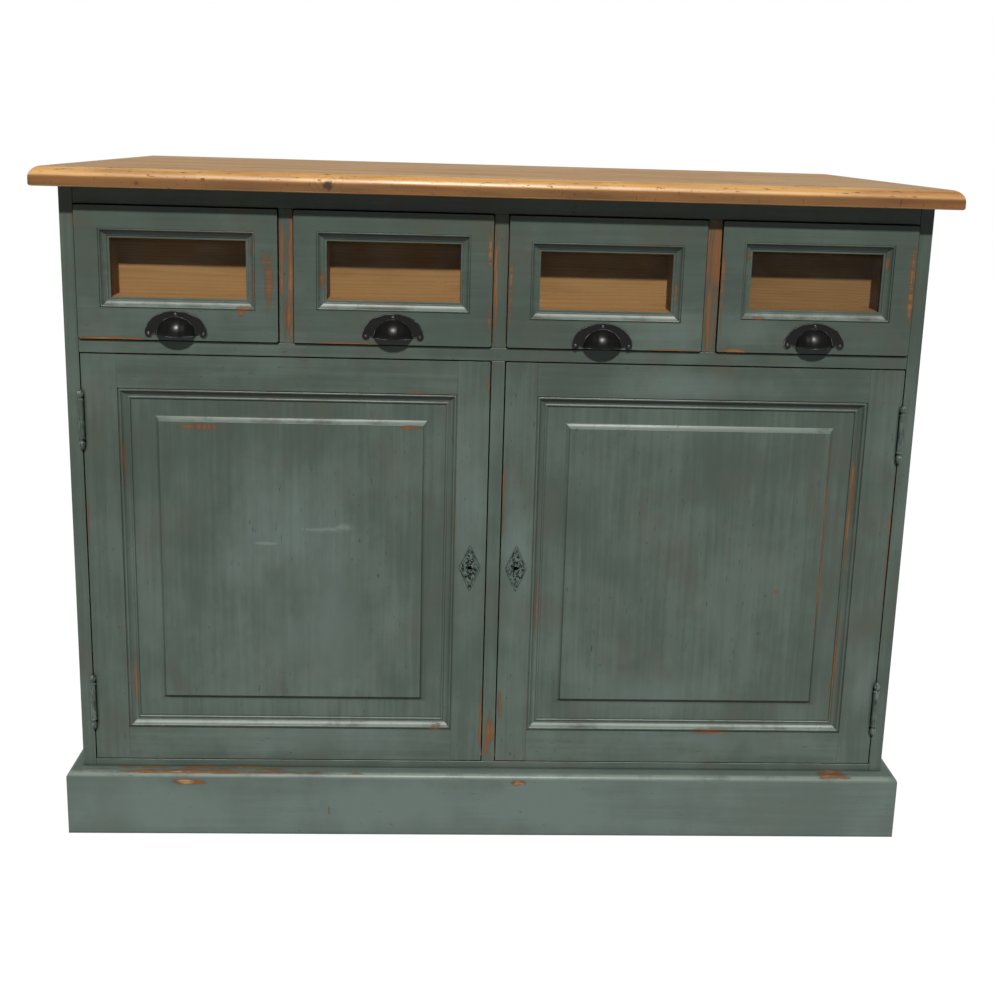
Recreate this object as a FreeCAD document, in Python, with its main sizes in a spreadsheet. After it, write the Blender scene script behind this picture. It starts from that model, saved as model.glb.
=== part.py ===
import FreeCAD, Part
import math
import os
import re
import Sketcher
from FreeCAD import Vector

# A painted pine unit on a plinth: four display drawers over a two-door cupboard, under a waxed top.
# +Z is up and the front looks along -Y. The origin is on the floor, at the middle of the unit.
# Left and right are as seen from the front.

# Driving sizes, in millimetres. Each one can be changed by itself.
SIZES = {
    # Whole unit
    "UnitHeight": 928.0,
    "WorktopLength": 1190.0,
    "WorktopDepth": 613.0,
    "WorktopThickness": 25.0,
    "WorktopEdgeRadius": 15.0,
    "WorktopUnderRadius": 3.0,
    "FrontOverhang": 38.0,
    "BackOverhang": 25.0,
    "SideOverhang": 25.0,
    # Carcass boards and their joints
    "BoardThickness": 18.0,
    "RailDepth": 45.0,
    "TopRailThickness": 22.5,
    "BottomRailFoot": 30.0,
    "FloorTop": 104.5,
    "DrawerOpeningHeight": 176.5,
    "HousingDepth": 5.0,
    "TenonLength": 9.0,
    "TenonWidth": 9.0,
    "TenonThickness": 8.0,
    "BackThickness": 12.0,
    "BackRebate": 9.0,
    "BackBoardCount": 10.0,
    "BeadGrooveWidth": 4.0,
    "BeadGrooveDepth": 2.0,
    "FrontGap": 1.4,
    # Plinth
    "PlinthHeight": 94.0,
    "PlinthThickness": 19.0,
    "PlinthEdgeRadius": 9.5,
    # Cupboard shelves
    "ShelfHeight": 270.0,
    "ShelfSetback": 60.0,
    "ShelfClearance": 1.0,
    "BearerSize": 20.0,
    # Doors
    "DoorThickness": 20.0,
    "HingeStileWidth": 46.5,
    "LockStileWidth": 43.0,
    "DoorTopRail": 45.5,
    "DoorBottomRail": 47.0,
    "PanelFaceDepth": 8.0,
    "PanelThickness": 8.0,
    "PanelGroove": 8.0,
    "PanelClearance": 1.0,
    "DoorMouldingWidth": 15.0,
    "DoorQuirkWidth": 1.2,
    "DoorQuirkDepth": 1.6,
    "DoorBeadWidth": 3.2,
    "DoorFilletWidth": 3.2,
    "DoorFilletDepth": 7.0,
    "FieldRise": 7.5,
    "FieldStep": 0.9,
    "FieldBevel": 10.5,
    "CoveRoot": 1.0,
    "FieldMarginTop": 18.0,
    "FieldMarginBottom": 22.7,
    "LeftFieldHingeMargin": 26.8,
    "LeftFieldLockMargin": 19.6,
    "RightFieldHingeMargin": 22.1,
    "RightFieldLockMargin": 20.6,
    # Hinges
    "HingeInset": 87.5,
    "HingeKnuckleRadius": 3.9,
    "HingeKnuckleLength": 25.0,
    "HingeAxisProud": 4.6,
    "HingePinRadius": 2.4,
    "HingePinClearance": 0.05,
    "HingePinLength": 20.0,
    "HingeBoreSpare": 1.0,
    "KnuckleGap": 0.3,
    "LeafThickness": 1.5,
    "LeafDepth": 16.0,
    # Locks and escutcheons
    "EscutcheonWidth": 29.0,
    "EscutcheonHeight": 65.0,
    "EscutcheonThickness": 1.2,
    "EscutcheonRim": 1.9,
    "EscutcheonRimRise": 1.2,
    "KeyholeRadius": 3.1,
    "KeyholeSlotWidth": 2.4,
    "KeyholeSlotLength": 8.0,
    "KeyBoreRadius": 4.5,
    "LockCaseWidth": 46.0,
    "LockCaseHeight": 60.0,
    "LockCaseThickness": 11.0,
    "LockEdgeInset": 0.5,
    "BoltWidth": 10.0,
    "BoltThickness": 4.0,
    "BoltLength": 28.0,
    "BoltClearance": 0.3,
    "BoltSetback": 0.5,
    "BoltThrow": 7.0,
    # Drawers
    "DrawerProud": 4.0,
    "DrawerCornerRadius": 2.5,
    "DrawerFrontThickness": 20.0,
    "DrawerBackSpace": 37.5,
    "DrawerRunClearance": 0.4,
    "DrawerSideThickness": 10.0,
    "DrawerSideHeight": 160.0,
    "DrawerSideLap": 10.0,
    "DrawerBottomThickness": 6.0,
    "DrawerBottomRise": 8.0,
    "DrawerBottomGroove": 5.0,
    "StopClearance": 0.5,
    "StopLength": 40.0,
    "StopDepth": 20.0,
    "StopHeight": 18.0,
    # Drawer windows and the display slot behind them
    "WindowMarginSide": 29.4,
    "WindowMarginTop": 29.2,
    "WindowMarginBottom": 41.6,
    "WindowRiseFirst": 0.0,
    "WindowRiseSecond": 2.5,
    "WindowRiseThird": -4.2,
    "WindowRiseFourth": 2.5,
    "WindowMouldingWidth": 12.8,
    "WindowMouldingDepth": 12.5,
    "WindowBeadDepth": 1.4,
    "WindowBeadWidth": 2.6,
    "WindowQuirkDepth": 2.2,
    "WindowCoveDepth": 7.6,
    "WindowFilletWidth": 3.2,
    "WindowFilletDepth": 8.6,
    "GlassThickness": 2.0,
    "GlassClearance": 0.5,
    "DisplayDepth": 34.0,
    "DisplayBoardThickness": 8.0,
    # Cup pulls
    "PullWidth": 81.0,
    "PullHeight": 34.2,
    "PullDrop": 3.0,
    "PullShiftFirst": -3.0,
    "PullShiftSecond": 0.0,
    "PullShiftThird": -3.0,
    "PullShiftFourth": 0.5,
    "PullPlateThickness": 1.8,
    "PullEarRadius": 4.9,
    "PullOpeningInset": 4.5,
    "CupWidth": 57.5,
    "CupRadius": 27.9,
    "CupLip": 2.4,
    "CupAxisDepth": 10.5,
    "CupWall": 1.8,
}

# Lengths that follow from the driving sizes.
DERIVED = {
    "FrontY": "FrontOverhang - WorktopDepth / 2",
    "CarcassDepth": "WorktopDepth - FrontOverhang - BackOverhang",
    "InnerDepth": "CarcassDepth - BackThickness",
    "CarcassWidth": "WorktopLength - 2 * SideOverhang",
    "HalfCarcass": "CarcassWidth / 2",
    "InnerHalf": "CarcassWidth / 2 - BoardThickness",
    "UnderTop": "UnitHeight - WorktopThickness",
    "DrawerOpeningTop": "UnderTop - TopRailThickness",
    "DeckTop": "DrawerOpeningTop - DrawerOpeningHeight",
    "DoorOpeningTop": "DeckTop - BoardThickness",
    "DividerPitch": "(2 * InnerHalf + BoardThickness) / 4",
    "DoorWidth": "InnerHalf - BoardThickness / 2 - 2 * FrontGap",
    "DoorHeight": "DoorOpeningTop - FloorTop - 2 * FrontGap",
    "DoorFoot": "FloorTop + FrontGap",
    "FrameOpeningWidth": "DoorWidth - HingeStileWidth - LockStileWidth",
    "FrameOpeningHeight": "DoorHeight - DoorTopRail - DoorBottomRail",
    "LockHeight": "DoorHeight / 2",
    "DrawerWidth": "DividerPitch - BoardThickness - 2 * FrontGap",
    "DrawerFrontHeight": "DrawerOpeningHeight - 2 * FrontGap",
    "DrawerFrontFoot": "DeckTop + FrontGap",
    "DrawerFaceY": "FrontY - DrawerProud",
    "DrawerLength": "DrawerProud + InnerDepth - DrawerBackSpace",
    "BoxFoot": "DrawerRunClearance - FrontGap",
    "BoxInnerHalf": "DrawerWidth / 2 - DrawerSideThickness",
    "BottomTop": "BoxFoot + DrawerBottomRise + DrawerBottomThickness",
    "WindowWidth": "DrawerWidth - 2 * WindowMarginSide",
    "WindowHeight": "DrawerFrontHeight - WindowMarginTop - WindowMarginBottom",
    "GlassBack": "WindowMouldingDepth + GlassThickness",
    "DisplayBack": "GlassBack + DisplayDepth",
}

WINDOW_RISES = ["WindowRiseFirst", "WindowRiseSecond", "WindowRiseThird", "WindowRiseFourth"]
PULL_SHIFTS = ["PullShiftFirst", "PullShiftSecond", "PullShiftThird", "PullShiftFourth"]

# Each front rail as name, depth, lower edge and upper edge.
RAILS = [
    ("Bottom", "BoardThickness", "BottomRailFoot", "FloorTop"),
    ("Middle", "RailDepth", "DoorOpeningTop", "DeckTop"),
    ("Top", "RailDepth", "DrawerOpeningTop", "UnderTop"),
]
HINGE_LEVELS = ["(DoorFoot + HingeInset)", "(DoorFoot + DoorHeight - HingeInset)"]

# How far the arcs of the mouldings stand off their chords, as shares of them
BEAD_BULGE = "-0.35"
HOLLOW_BULGE = "0.12"
COVE_BULGE = "0.16"

# The cup of a pull is turned from this many straight facets, outside and inside.
CUP_FACETS = 9
HOLLOW_FACETS = 7
# Where the three arcs of a pull's plate meet and pass, in degrees round its half ellipse.
PLATE_JOIN = 60
PLATE_PASS = 32

PLANES = {"X": "YZ_Plane", "Y": "XZ_Plane", "Z": "XY_Plane"}

doc = FreeCAD.newDocument("island_unit")
sheet = doc.addObject("Spreadsheet::Sheet", "Sizes")
for row, (name, size) in enumerate(SIZES.items(), 1):
    sheet.set("A%d" % row, name)
    sheet.set("B%d" % row, str(size))
    sheet.setAlias("B%d" % row, name)
doc.recompute()

nodes = []


# Formulas, sketches and features

def link(formula):
    """Point each size named in a formula at its cell in the sheet."""
    def cell(match):
        word = match.group(0)
        if word in DERIVED:
            return "(%s)" % link(DERIVED[word])
        return "Sizes." + word
    return re.sub(r"[A-Z][A-Za-z]+", cell, formula)


def number(formula):
    """Work a formula out, in millimetres."""
    return float(sheet.evalExpression(link(formula)))


def place(item, x="0", y="0", z="0"):
    """Bind the place of a sub-part."""
    for axis, formula in (("x", x), ("y", y), ("z", z)):
        item.setExpression(".Placement.Base." + axis, link(formula))


def new_body(label, x="0", y="0", z="0"):
    """Start a piece of wood, metal or glass with its own origin."""
    body = doc.addObject("PartDesign::Body", label)
    body.Label = label
    place(body, x, y, z)
    return body


def bind(sketch, kind, curve, end, formula):
    """Fix one coordinate of a sketch point, measured from the sketch's origin."""
    if formula == "0":
        axis = -1 if kind == "DistanceY" else -2
        sketch.addConstraint(Sketcher.Constraint("PointOnObject", curve, end, axis))
        return
    constraint = Sketcher.Constraint(kind, -1, 1, curve, end, number(formula))
    index = sketch.addConstraint(constraint)
    sketch.setExpression("Constraints[%d]" % index, link(formula))


def bind_point(sketch, curve, end, x, y):
    bind(sketch, "DistanceX", curve, end, x)
    bind(sketch, "DistanceY", curve, end, y)


def arc_through(start, middle, stop):
    """The arc through three points, and whether it runs backwards from stop to start."""
    a = middle - start
    b = stop - start
    turn = a.x * b.y - a.y * b.x
    side_a = a.dot(a)
    side_b = b.dot(b)
    centre = start + Vector(side_a * b.y - side_b * a.y, side_b * a.x - side_a * b.x, 0) / (2 * turn)
    circle = Part.Circle(centre, Vector(0, 0, 1), (start - centre).Length)
    angle_start = math.atan2(start.y - centre.y, start.x - centre.x)
    angle_stop = math.atan2(stop.y - centre.y, stop.x - centre.x)
    if turn < 0:
        angle_start, angle_stop = angle_stop, angle_start
    if angle_stop < angle_start:
        angle_stop += 2 * math.pi
    return Part.ArcOfCircle(circle, angle_start, angle_stop), turn < 0


def draw_loop(sketch, corners):
    """Draw a closed outline. A corner is (x, y), or (x, y, mid x, mid y) where an arc leads to it."""
    first = len(sketch.Geometry)
    places = [Vector(number(c[0]), number(c[1]), 0) for c in corners]
    ends = []
    for i, corner in enumerate(corners):
        if len(corner) == 2:
            sketch.addGeometry(Part.LineSegment(places[i - 1], places[i]), False)
            ends.append((1, 2))
            continue
        middle = Vector(number(corner[2]), number(corner[3]), 0)
        arc, backwards = arc_through(places[i - 1], middle, places[i])
        sketch.addGeometry(arc, False)
        ends.append((2, 1) if backwards else (1, 2))
    for i, corner in enumerate(corners):
        following = (i + 1) % len(corners)
        meet = (first + i, ends[i][1], first + following, ends[following][0])
        sketch.addConstraint(Sketcher.Constraint("Coincident", *meet))
        bind_point(sketch, first + i, ends[i][1], corner[0], corner[1])
    for i, corner in enumerate(corners):
        if len(corner) == 4:
            middle = Vector(number(corner[2]), number(corner[3]), 0)
            point = sketch.addGeometry(Part.Point(middle), True)
            bind_point(sketch, point, 1, corner[2], corner[3])
            sketch.addConstraint(Sketcher.Constraint("PointOnObject", point, 1, first + i))


def rectangle(x0, y0, x1, y1):
    return [(x0, y0), (x1, y0), (x1, y1), (x0, y1)]


def arc_to(start, stop, bulge):
    """The corner that ends an arc. The arc stands off its chord by a share of it, to its right."""
    x = "((%s) + (%s)) / 2 + (%s) * ((%s) - (%s))" % (start[0], stop[0], bulge, stop[1], start[1])
    y = "((%s) + (%s)) / 2 - (%s) * ((%s) - (%s))" % (start[1], stop[1], bulge, stop[0], start[0])
    return stop + (x, y)


def sketch_across(body, name, axis, at, loops=(), circles=()):
    """Sketch across an axis of the body, at a distance along it."""
    sketch = body.newObject("Sketcher::SketchObject", name + "_sketch")
    plane = next(f for f in body.Origin.OriginFeatures if f.Role == PLANES[axis])
    sketch.AttachmentSupport = [(plane, "")]
    sketch.MapMode = "FlatFace"
    if at != "0":
        sign = "-" if axis == "Y" else ""
        sketch.setExpression(".AttachmentOffset.Base.z", link("%s(%s)" % (sign, at)))
    for loop in loops:
        draw_loop(sketch, loop)
    for x, y, radius in circles:
        centre = Vector(number(x), number(y), 0)
        curve = sketch.addGeometry(Part.Circle(centre, Vector(0, 0, 1), number(radius)), False)
        bind_point(sketch, curve, 3, x, y)
        index = sketch.addConstraint(Sketcher.Constraint("Radius", curve, number(radius)))
        sketch.setExpression("Constraints[%d]" % index, link(radius))
    return sketch


def extrude(kind, body, name, axis, at, length, loops, circles):
    feature_sketch = sketch_across(body, name, axis, at, loops, circles)
    feature = body.newObject(kind, name)
    feature.Profile = feature_sketch
    feature.setExpression("Length", link(length))
    return feature


def pad(body, name, axis, at, length, *loops, circles=()):
    """Add material from a distance along an axis, onwards by a length."""
    feature = extrude("PartDesign::Pad", body, name, axis, at, length, loops, circles)
    feature.Reversed = axis == "Y"
    return feature


def pocket(body, name, axis, at, length, *loops, circles=()):
    """Cut material from a distance along an axis, onwards by a length."""
    feature = extrude("PartDesign::Pocket", body, name, axis, at, length, loops, circles)
    feature.Reversed = axis != "Y"
    return feature


def revolve(body, name, axis, loop, angle=360.0):
    """Turn an outline in the XZ plane round that plane's own H or V axis."""
    profile = sketch_across(body, name, "Y", "0", [loop])
    feature = body.newObject("PartDesign::Revolution", name)
    feature.Profile = profile
    feature.ReferenceAxis = (profile, [axis])
    feature.Angle = angle
    return feature


def round_edges(body, name, radius, chosen):
    """Round the edges of the body so far for which chosen(edge) is true."""
    doc.recompute()
    base = body.Tip
    names = ["Edge%d" % (i + 1) for i, edge in enumerate(base.Shape.Edges) if chosen(edge)]
    feature = body.newObject("PartDesign::Fillet", name)
    feature.Base = (base, names)
    feature.setExpression("Radius", link(radius))
    return feature


def runs_at(edge, **where):
    """Whether both ends of a straight edge lie at the given coordinates."""
    ends = [vertex.Point for vertex in edge.Vertexes]
    return all(abs(getattr(end, axis) - at) < 0.01 for end in ends for axis, at in where.items())


def keep(item, label=None):
    """Count an object as a sub-part that is written out."""
    if label:
        item.Label = label
    nodes.append(item)
    return item


def mirrored(source, label):
    """The other hand of a piece, across the unit's middle."""
    copy = doc.addObject("Part::Mirroring", label)
    copy.Label = label
    copy.Source = source
    copy.Normal = Vector(1, 0, 0)
    copy.Base = Vector(0, 0, 0)
    return copy


def group(label, pieces):
    """One sub-part made of separate pieces of a kind."""
    compound = doc.addObject("Part::Compound", label)
    compound.Links = pieces
    return keep(compound, label)


def board(label, x, y, z, width, depth, height):
    """A plain board from its lower, left, front corner."""
    body = new_body(label, x, y, z)
    pad(body, "Board", "Z", "0", height, rectangle("0", "0", width, depth))
    return body


def mitred_frame(body, name, width, height, profile):
    """Run a moulding section round the inside of a rectangle that stands on the body's origin."""
    half = "(%s) / 2" % width
    corners = [(half, "0"), (half, height), ("-(%s)" % half, height), ("-(%s)" % half, "0"), ("0", "0")]
    route = sketch_across(body, name + "_route", "Y", "0", [corners])
    section = sketch_across(body, name + "_section", "X", "0", [profile])
    feature = body.newObject("PartDesign::AdditivePipe", name)
    feature.Profile = section
    feature.Spine = (route, ["Edge%d" % (i + 1) for i in range(len(corners))])
    feature.Transition = "Right corner"
    return feature


# Carcass

def side_panel():
    """Left side board, housed for the floor and deck, mortised for the rails and cut for the hinges."""
    body = new_body("side_panel_left", "-HalfCarcass", "FrontY", "0")
    pad(body, "Board", "Z", "0", "UnderTop", rectangle("0", "0", "BoardThickness", "CarcassDepth"))
    housing_face = "BoardThickness - HousingDepth"
    floor = rectangle("BoardThickness", "FloorTop - BoardThickness", "InnerDepth", "FloorTop")
    pocket(body, "FloorHousing", "X", housing_face, "HousingDepth", floor)
    deck = rectangle("RailDepth", "DoorOpeningTop", "InnerDepth", "DeckTop")
    pocket(body, "DeckHousing", "X", housing_face, "HousingDepth", deck)
    for rail, depth, foot, head in RAILS:
        mortise = tenon_section(depth, foot, head)
        pocket(body, rail + "Mortise", "X", "BoardThickness - TenonLength", "TenonLength", mortise)
    rebate = rectangle("BoardThickness - BackRebate", "InnerDepth", "BoardThickness", "CarcassDepth")
    pocket(body, "BackRebateCut", "Z", "0", "UnderTop", rebate)
    for level in HINGE_LEVELS:
        leaf = rectangle("0", level + " - HingeKnuckleLength", "LeafDepth", level + " + HingeKnuckleLength")
        pocket(body, "LeafRecess", "X", "BoardThickness - LeafThickness", "LeafThickness", leaf)
    return body


def tenon_section(depth, foot, head):
    """Section of the stub tenon on a rail's end, in depth and height."""
    middle = "(%s + %s) / 2" % (foot, head)
    near = "(%s - TenonWidth) / 2" % depth
    far = "(%s + TenonWidth) / 2" % depth
    return rectangle(near, "%s - TenonThickness / 2" % middle, far, "%s + TenonThickness / 2" % middle)


def front_rail(label, depth, foot, head):
    """A rail between the side boards, with a stub tenon in each of them."""
    body = new_body(label, "-InnerHalf", "FrontY", "0")
    pad(body, "Rail", "X", "0", "2 * InnerHalf", rectangle("0", foot, depth, head))
    section = tenon_section(depth, foot, head)
    pad(body, "Tenons", "X", "-TenonLength", "2 * (InnerHalf + TenonLength)", section)
    return body


def housed_board(label, y, z, depth, upper_grooves, lower_grooves):
    """A level board let into both sides, grooved across for the upright boards."""
    body = board(label, "-(InnerHalf + HousingDepth)", y, z,
                 "2 * (InnerHalf + HousingDepth)", depth, "BoardThickness")
    start = "FrontY + RailDepth - (%s)" % y
    for grooves, level in ((upper_grooves, "BoardThickness - HousingDepth"), (lower_grooves, "0")):
        for centre in grooves:
            middle = "InnerHalf + HousingDepth + %s" % centre
            groove = rectangle("%s - BoardThickness / 2" % middle, start,
                               "%s + BoardThickness / 2" % middle, depth)
            pocket(body, "Groove", "Z", level, "HousingDepth", groove)
    return body


def upright(label, centre, foot, head, stub_foot, stub_head):
    """A full-depth upright board whose stubs sit in the grooves behind the rails."""
    body = new_body(label, centre, "FrontY", "0")
    half = "BoardThickness / 2"
    pad(body, "Board", "X", "-(%s)" % half, "BoardThickness", rectangle("0", foot, "InnerDepth", head))
    stub = rectangle("RailDepth", stub_foot, "InnerDepth", stub_head)
    pad(body, "Stubs", "X", "-(%s)" % half, "BoardThickness", stub)
    return body


def centre_partition():
    """The board between the two cupboards, mortised on each face for a lock bolt."""
    body = upright("centre_partition", "0", "FloorTop", "DoorOpeningTop",
                   "FloorTop - HousingDepth", "DoorOpeningTop + HousingDepth")
    front = "DoorThickness + (LockCaseThickness - BoltThickness) / 2 - 2 * BoltClearance"
    back = "DoorThickness + (LockCaseThickness + BoltThickness) / 2 + 2 * BoltClearance"
    middle = "(DoorFoot + LockHeight)"
    mortise = rectangle(front, "%s - BoltWidth / 2 - 2 * BoltClearance" % middle,
                        back, "%s + BoltWidth / 2 + 2 * BoltClearance" % middle)
    depth = "BoltThrow + BoltClearance - BoltSetback - LockEdgeInset - FrontGap"
    pocket(body, "LeftBoltMortise", "X", "-BoardThickness / 2", depth, mortise)
    pocket(body, "RightBoltMortise", "X", "BoardThickness / 2 - (%s)" % depth, depth, mortise)
    return body


def back_panel():
    """Vertical boards in the rebates of the side boards, with a V-groove at each joint."""
    width = "2 * (InnerHalf + BackRebate)"
    body = board("back_panel", "-(InnerHalf + BackRebate)", "FrontY + InnerDepth", "BottomRailFoot",
                 width, "BackThickness", "UnderTop - BottomRailFoot")
    pitch = "(%s) / BackBoardCount" % width
    groove = [
        ("%s - BeadGrooveWidth / 2" % pitch, "BackThickness"),
        (pitch, "BackThickness - BeadGrooveDepth"),
        ("%s + BeadGrooveWidth / 2" % pitch, "BackThickness"),
    ]
    cut = pocket(body, "JointGroove", "Z", "0", "UnderTop - BottomRailFoot", groove)
    doc.recompute()
    pattern = body.newObject("PartDesign::LinearPattern", "JointGrooves")
    pattern.Originals = [cut]
    pattern.Direction = (cut.Profile[0], ["H_Axis"])
    pattern.setExpression("Length", link("%s * (BackBoardCount - 2)" % pitch))
    pattern.setExpression("Occurrences", link("BackBoardCount - 1"))
    body.Tip = pattern
    return body


def back_rails():
    """The two rails that hold the back edge of the carcass."""
    upper = board("back_rail_upper", "-InnerHalf", "FrontY + InnerDepth - RailDepth", "DrawerOpeningTop",
                  "2 * InnerHalf", "RailDepth", "TopRailThickness")
    lower = board("back_rail_lower", "-InnerHalf", "FrontY + InnerDepth - BoardThickness", "BottomRailFoot",
                  "2 * InnerHalf", "BoardThickness", "FloorTop - BoardThickness - BottomRailFoot")
    return group("back_rails", [upper, lower])


def drawer_centre(index):
    return "(%s * DividerPitch)" % (index - 1.5)


def drawer_stops():
    """Blocks on the deck that the closed drawers come to rest against."""
    y = "DrawerFaceY + DrawerLength + StopClearance"
    blocks = []
    for index in range(4):
        x = "%s - StopLength / 2" % drawer_centre(index)
        blocks.append(board("drawer_stop_%d" % (index + 1), x, y, "DeckTop",
                            "StopLength", "StopDepth", "StopHeight"))
    return group("drawer_stops", blocks)


def shelves():
    """A loose shelf in each cupboard, on bearers screwed to the uprights."""
    level = "FloorTop + ShelfHeight"
    y = "FrontY + ShelfSetback"
    depth = "InnerDepth - ShelfSetback"
    left = board("cupboard_shelf_left", "-InnerHalf + ShelfClearance", y, level,
                 "InnerHalf - BoardThickness / 2 - 2 * ShelfClearance",
                 "%s - ShelfClearance" % depth, "BoardThickness")
    outer = board("shelf_bearer_outer", "-InnerHalf", y, level + " - BearerSize",
                  "BearerSize", depth, "BearerSize")
    inner = board("shelf_bearer_inner", "-BoardThickness / 2 - BearerSize", y, level + " - BearerSize",
                  "BearerSize", depth, "BearerSize")
    group("cupboard_shelves", [left, mirrored(left, "cupboard_shelf_right")])
    pairs = [outer, inner, mirrored(outer, "shelf_bearer_outer_right"),
             mirrored(inner, "shelf_bearer_inner_right")]
    return group("shelf_bearers", pairs)


def plinth():
    """Three boards round the foot, mitred at the front corners, with a rounded upper edge."""
    front = keep(new_body("plinth_front", "0", "FrontY", "0"))
    corners = [("-HalfCarcass - PlinthThickness", "-PlinthThickness"),
               ("HalfCarcass + PlinthThickness", "-PlinthThickness"),
               ("HalfCarcass", "0"), ("-HalfCarcass", "0")]
    pad(front, "Board", "Z", "0", "PlinthHeight", corners)
    height = number("PlinthHeight")
    face = number("-PlinthThickness")
    round_edges(front, "UpperEdge", "PlinthEdgeRadius", lambda edge: runs_at(edge, z=height, y=face))
    left = keep(new_body("plinth_left", "-HalfCarcass", "FrontY", "0"))
    corners = [("-PlinthThickness", "-PlinthThickness"), ("0", "0"), ("0", "CarcassDepth"),
               ("-PlinthThickness", "CarcassDepth")]
    pad(left, "Board", "Z", "0", "PlinthHeight", corners)
    round_edges(left, "UpperEdge", "PlinthEdgeRadius", lambda edge: runs_at(edge, z=height, x=face))
    keep(mirrored(left, "plinth_right"))


def worktop():
    """The waxed top, its upper edge rounded all the way round."""
    body = board("worktop", "-WorktopLength / 2", "-WorktopDepth / 2", "UnderTop",
                 "WorktopLength", "WorktopDepth", "WorktopThickness")
    top = number("WorktopThickness")
    round_edges(body, "UpperEdges", "WorktopEdgeRadius", lambda edge: runs_at(edge, z=top))
    round_edges(body, "LowerEdges", "WorktopUnderRadius", lambda edge: runs_at(edge, z=0.0))
    return body


def carcass():
    side = keep(side_panel())
    keep(mirrored(side, "side_panel_right"))
    for label, (name, depth, foot, head) in zip(("bottom_rail", "mid_rail", "top_rail"), RAILS):
        keep(front_rail(label, depth, foot, head))
    keep(housed_board("floor_board", "FrontY + BoardThickness", "FloorTop - BoardThickness",
                      "InnerDepth - BoardThickness", ["0"], []))
    dividers = ["-DividerPitch", "0", "DividerPitch"]
    keep(housed_board("deck_board", "FrontY + RailDepth", "DoorOpeningTop",
                      "InnerDepth - RailDepth", dividers, ["0"]))
    keep(centre_partition())
    uprights = []
    for index, centre in enumerate(dividers):
        label = "drawer_divider_%d" % (index + 1)
        uprights.append(upright(label, centre, "DeckTop", "DrawerOpeningTop",
                                "DeckTop - HousingDepth", "DrawerOpeningTop"))
    group("drawer_dividers", uprights)
    back_rails()
    keep(back_panel())
    drawer_stops()
    shelves()
    plinth()
    keep(worktop())


# Hinges

def frame_leaf(label, level):
    """Lower half of a lift-off hinge: leaf, knuckle and the pin that carries the door."""
    body = new_body(label, "-InnerHalf + FrontGap / 2", "FrontY - HingeAxisProud", level)
    foot = "-HingeKnuckleLength"
    outline = [("0", "HingePinLength"), ("HingePinRadius", "HingePinLength"), ("HingePinRadius", "0"),
               ("HingeKnuckleRadius", "0"), ("HingeKnuckleRadius", foot), ("0", foot)]
    revolve(body, "Turning", "V_Axis", outline)
    leaf_near = "-FrontGap / 2 - LeafThickness"
    leaf = rectangle("HingeAxisProud", foot, "HingeAxisProud + LeafDepth", "HingeKnuckleLength")
    pad(body, "Leaf", "X", leaf_near, "LeafThickness", leaf)
    neck = rectangle("0", foot, "HingeAxisProud + LeafThickness", "0")
    pad(body, "Neck", "X", leaf_near, "LeafThickness", neck)
    return body


def door_leaf(label, level):
    """Upper half of a lift-off hinge: leaf and the knuckle that drops over the pin."""
    body = new_body(label, "-InnerHalf + FrontGap / 2", "FrontY - HingeAxisProud", level)
    bore = "HingePinRadius + HingePinClearance"
    depth = "HingePinLength + HingeBoreSpare"
    outline = [(bore, "KnuckleGap"), ("HingeKnuckleRadius", "KnuckleGap"),
               ("HingeKnuckleRadius", "HingeKnuckleLength"), ("0", "HingeKnuckleLength"),
               ("0", depth), (bore, depth)]
    revolve(body, "Turning", "V_Axis", outline)
    leaf_near = "FrontGap / 2"
    leaf = rectangle("HingeAxisProud", "-HingeKnuckleLength",
                     "HingeAxisProud + LeafDepth", "HingeKnuckleLength")
    pad(body, "Leaf", "X", leaf_near, "LeafThickness", leaf)
    wall_middle = "(%s + HingeKnuckleRadius) / 2" % bore
    neck = rectangle(wall_middle, "KnuckleGap", "HingeAxisProud + LeafThickness", "HingeKnuckleLength")
    pad(body, "Neck", "X", leaf_near, "LeafThickness", neck)
    return body


def hinges():
    """Two hinges on each door: the frame halves, then the door halves."""
    lower = [frame_leaf("frame_leaf_%d" % (i + 1), level) for i, level in enumerate(HINGE_LEVELS)]
    upper = [door_leaf("door_leaf_%d" % (i + 1), level) for i, level in enumerate(HINGE_LEVELS)]
    lower_right = [mirrored(leaf, leaf.Label + "_right") for leaf in lower]
    upper_right = [mirrored(leaf, leaf.Label + "_right") for leaf in upper]
    group("hinge_frame_leaves", lower + lower_right)
    group("left_door_hinge_leaves", upper)
    group("right_door_hinge_leaves", upper_right)


# Doors, drawn as the left one and mirrored

DOOR_X = "-InnerHalf + FrontGap"
PANEL_BACK = "PanelFaceDepth + PanelThickness"


def hinge_stile():
    body = new_body("hinge_stile", DOOR_X, "FrontY", "DoorFoot")
    pad(body, "Stile", "Z", "0", "DoorHeight", rectangle("0", "0", "HingeStileWidth", "DoorThickness"))
    groove = rectangle("HingeStileWidth - PanelGroove", "PanelFaceDepth", "HingeStileWidth", PANEL_BACK)
    pocket(body, "PanelSlot", "Z", "0", "DoorHeight", groove)
    for level in HINGE_LEVELS:
        middle = level + " - DoorFoot"
        leaf = rectangle("0", middle + " - HingeKnuckleLength", "LeafDepth", middle + " + HingeKnuckleLength")
        pocket(body, "LeafRecess", "X", "0", "LeafThickness", leaf)
    return body


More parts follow.
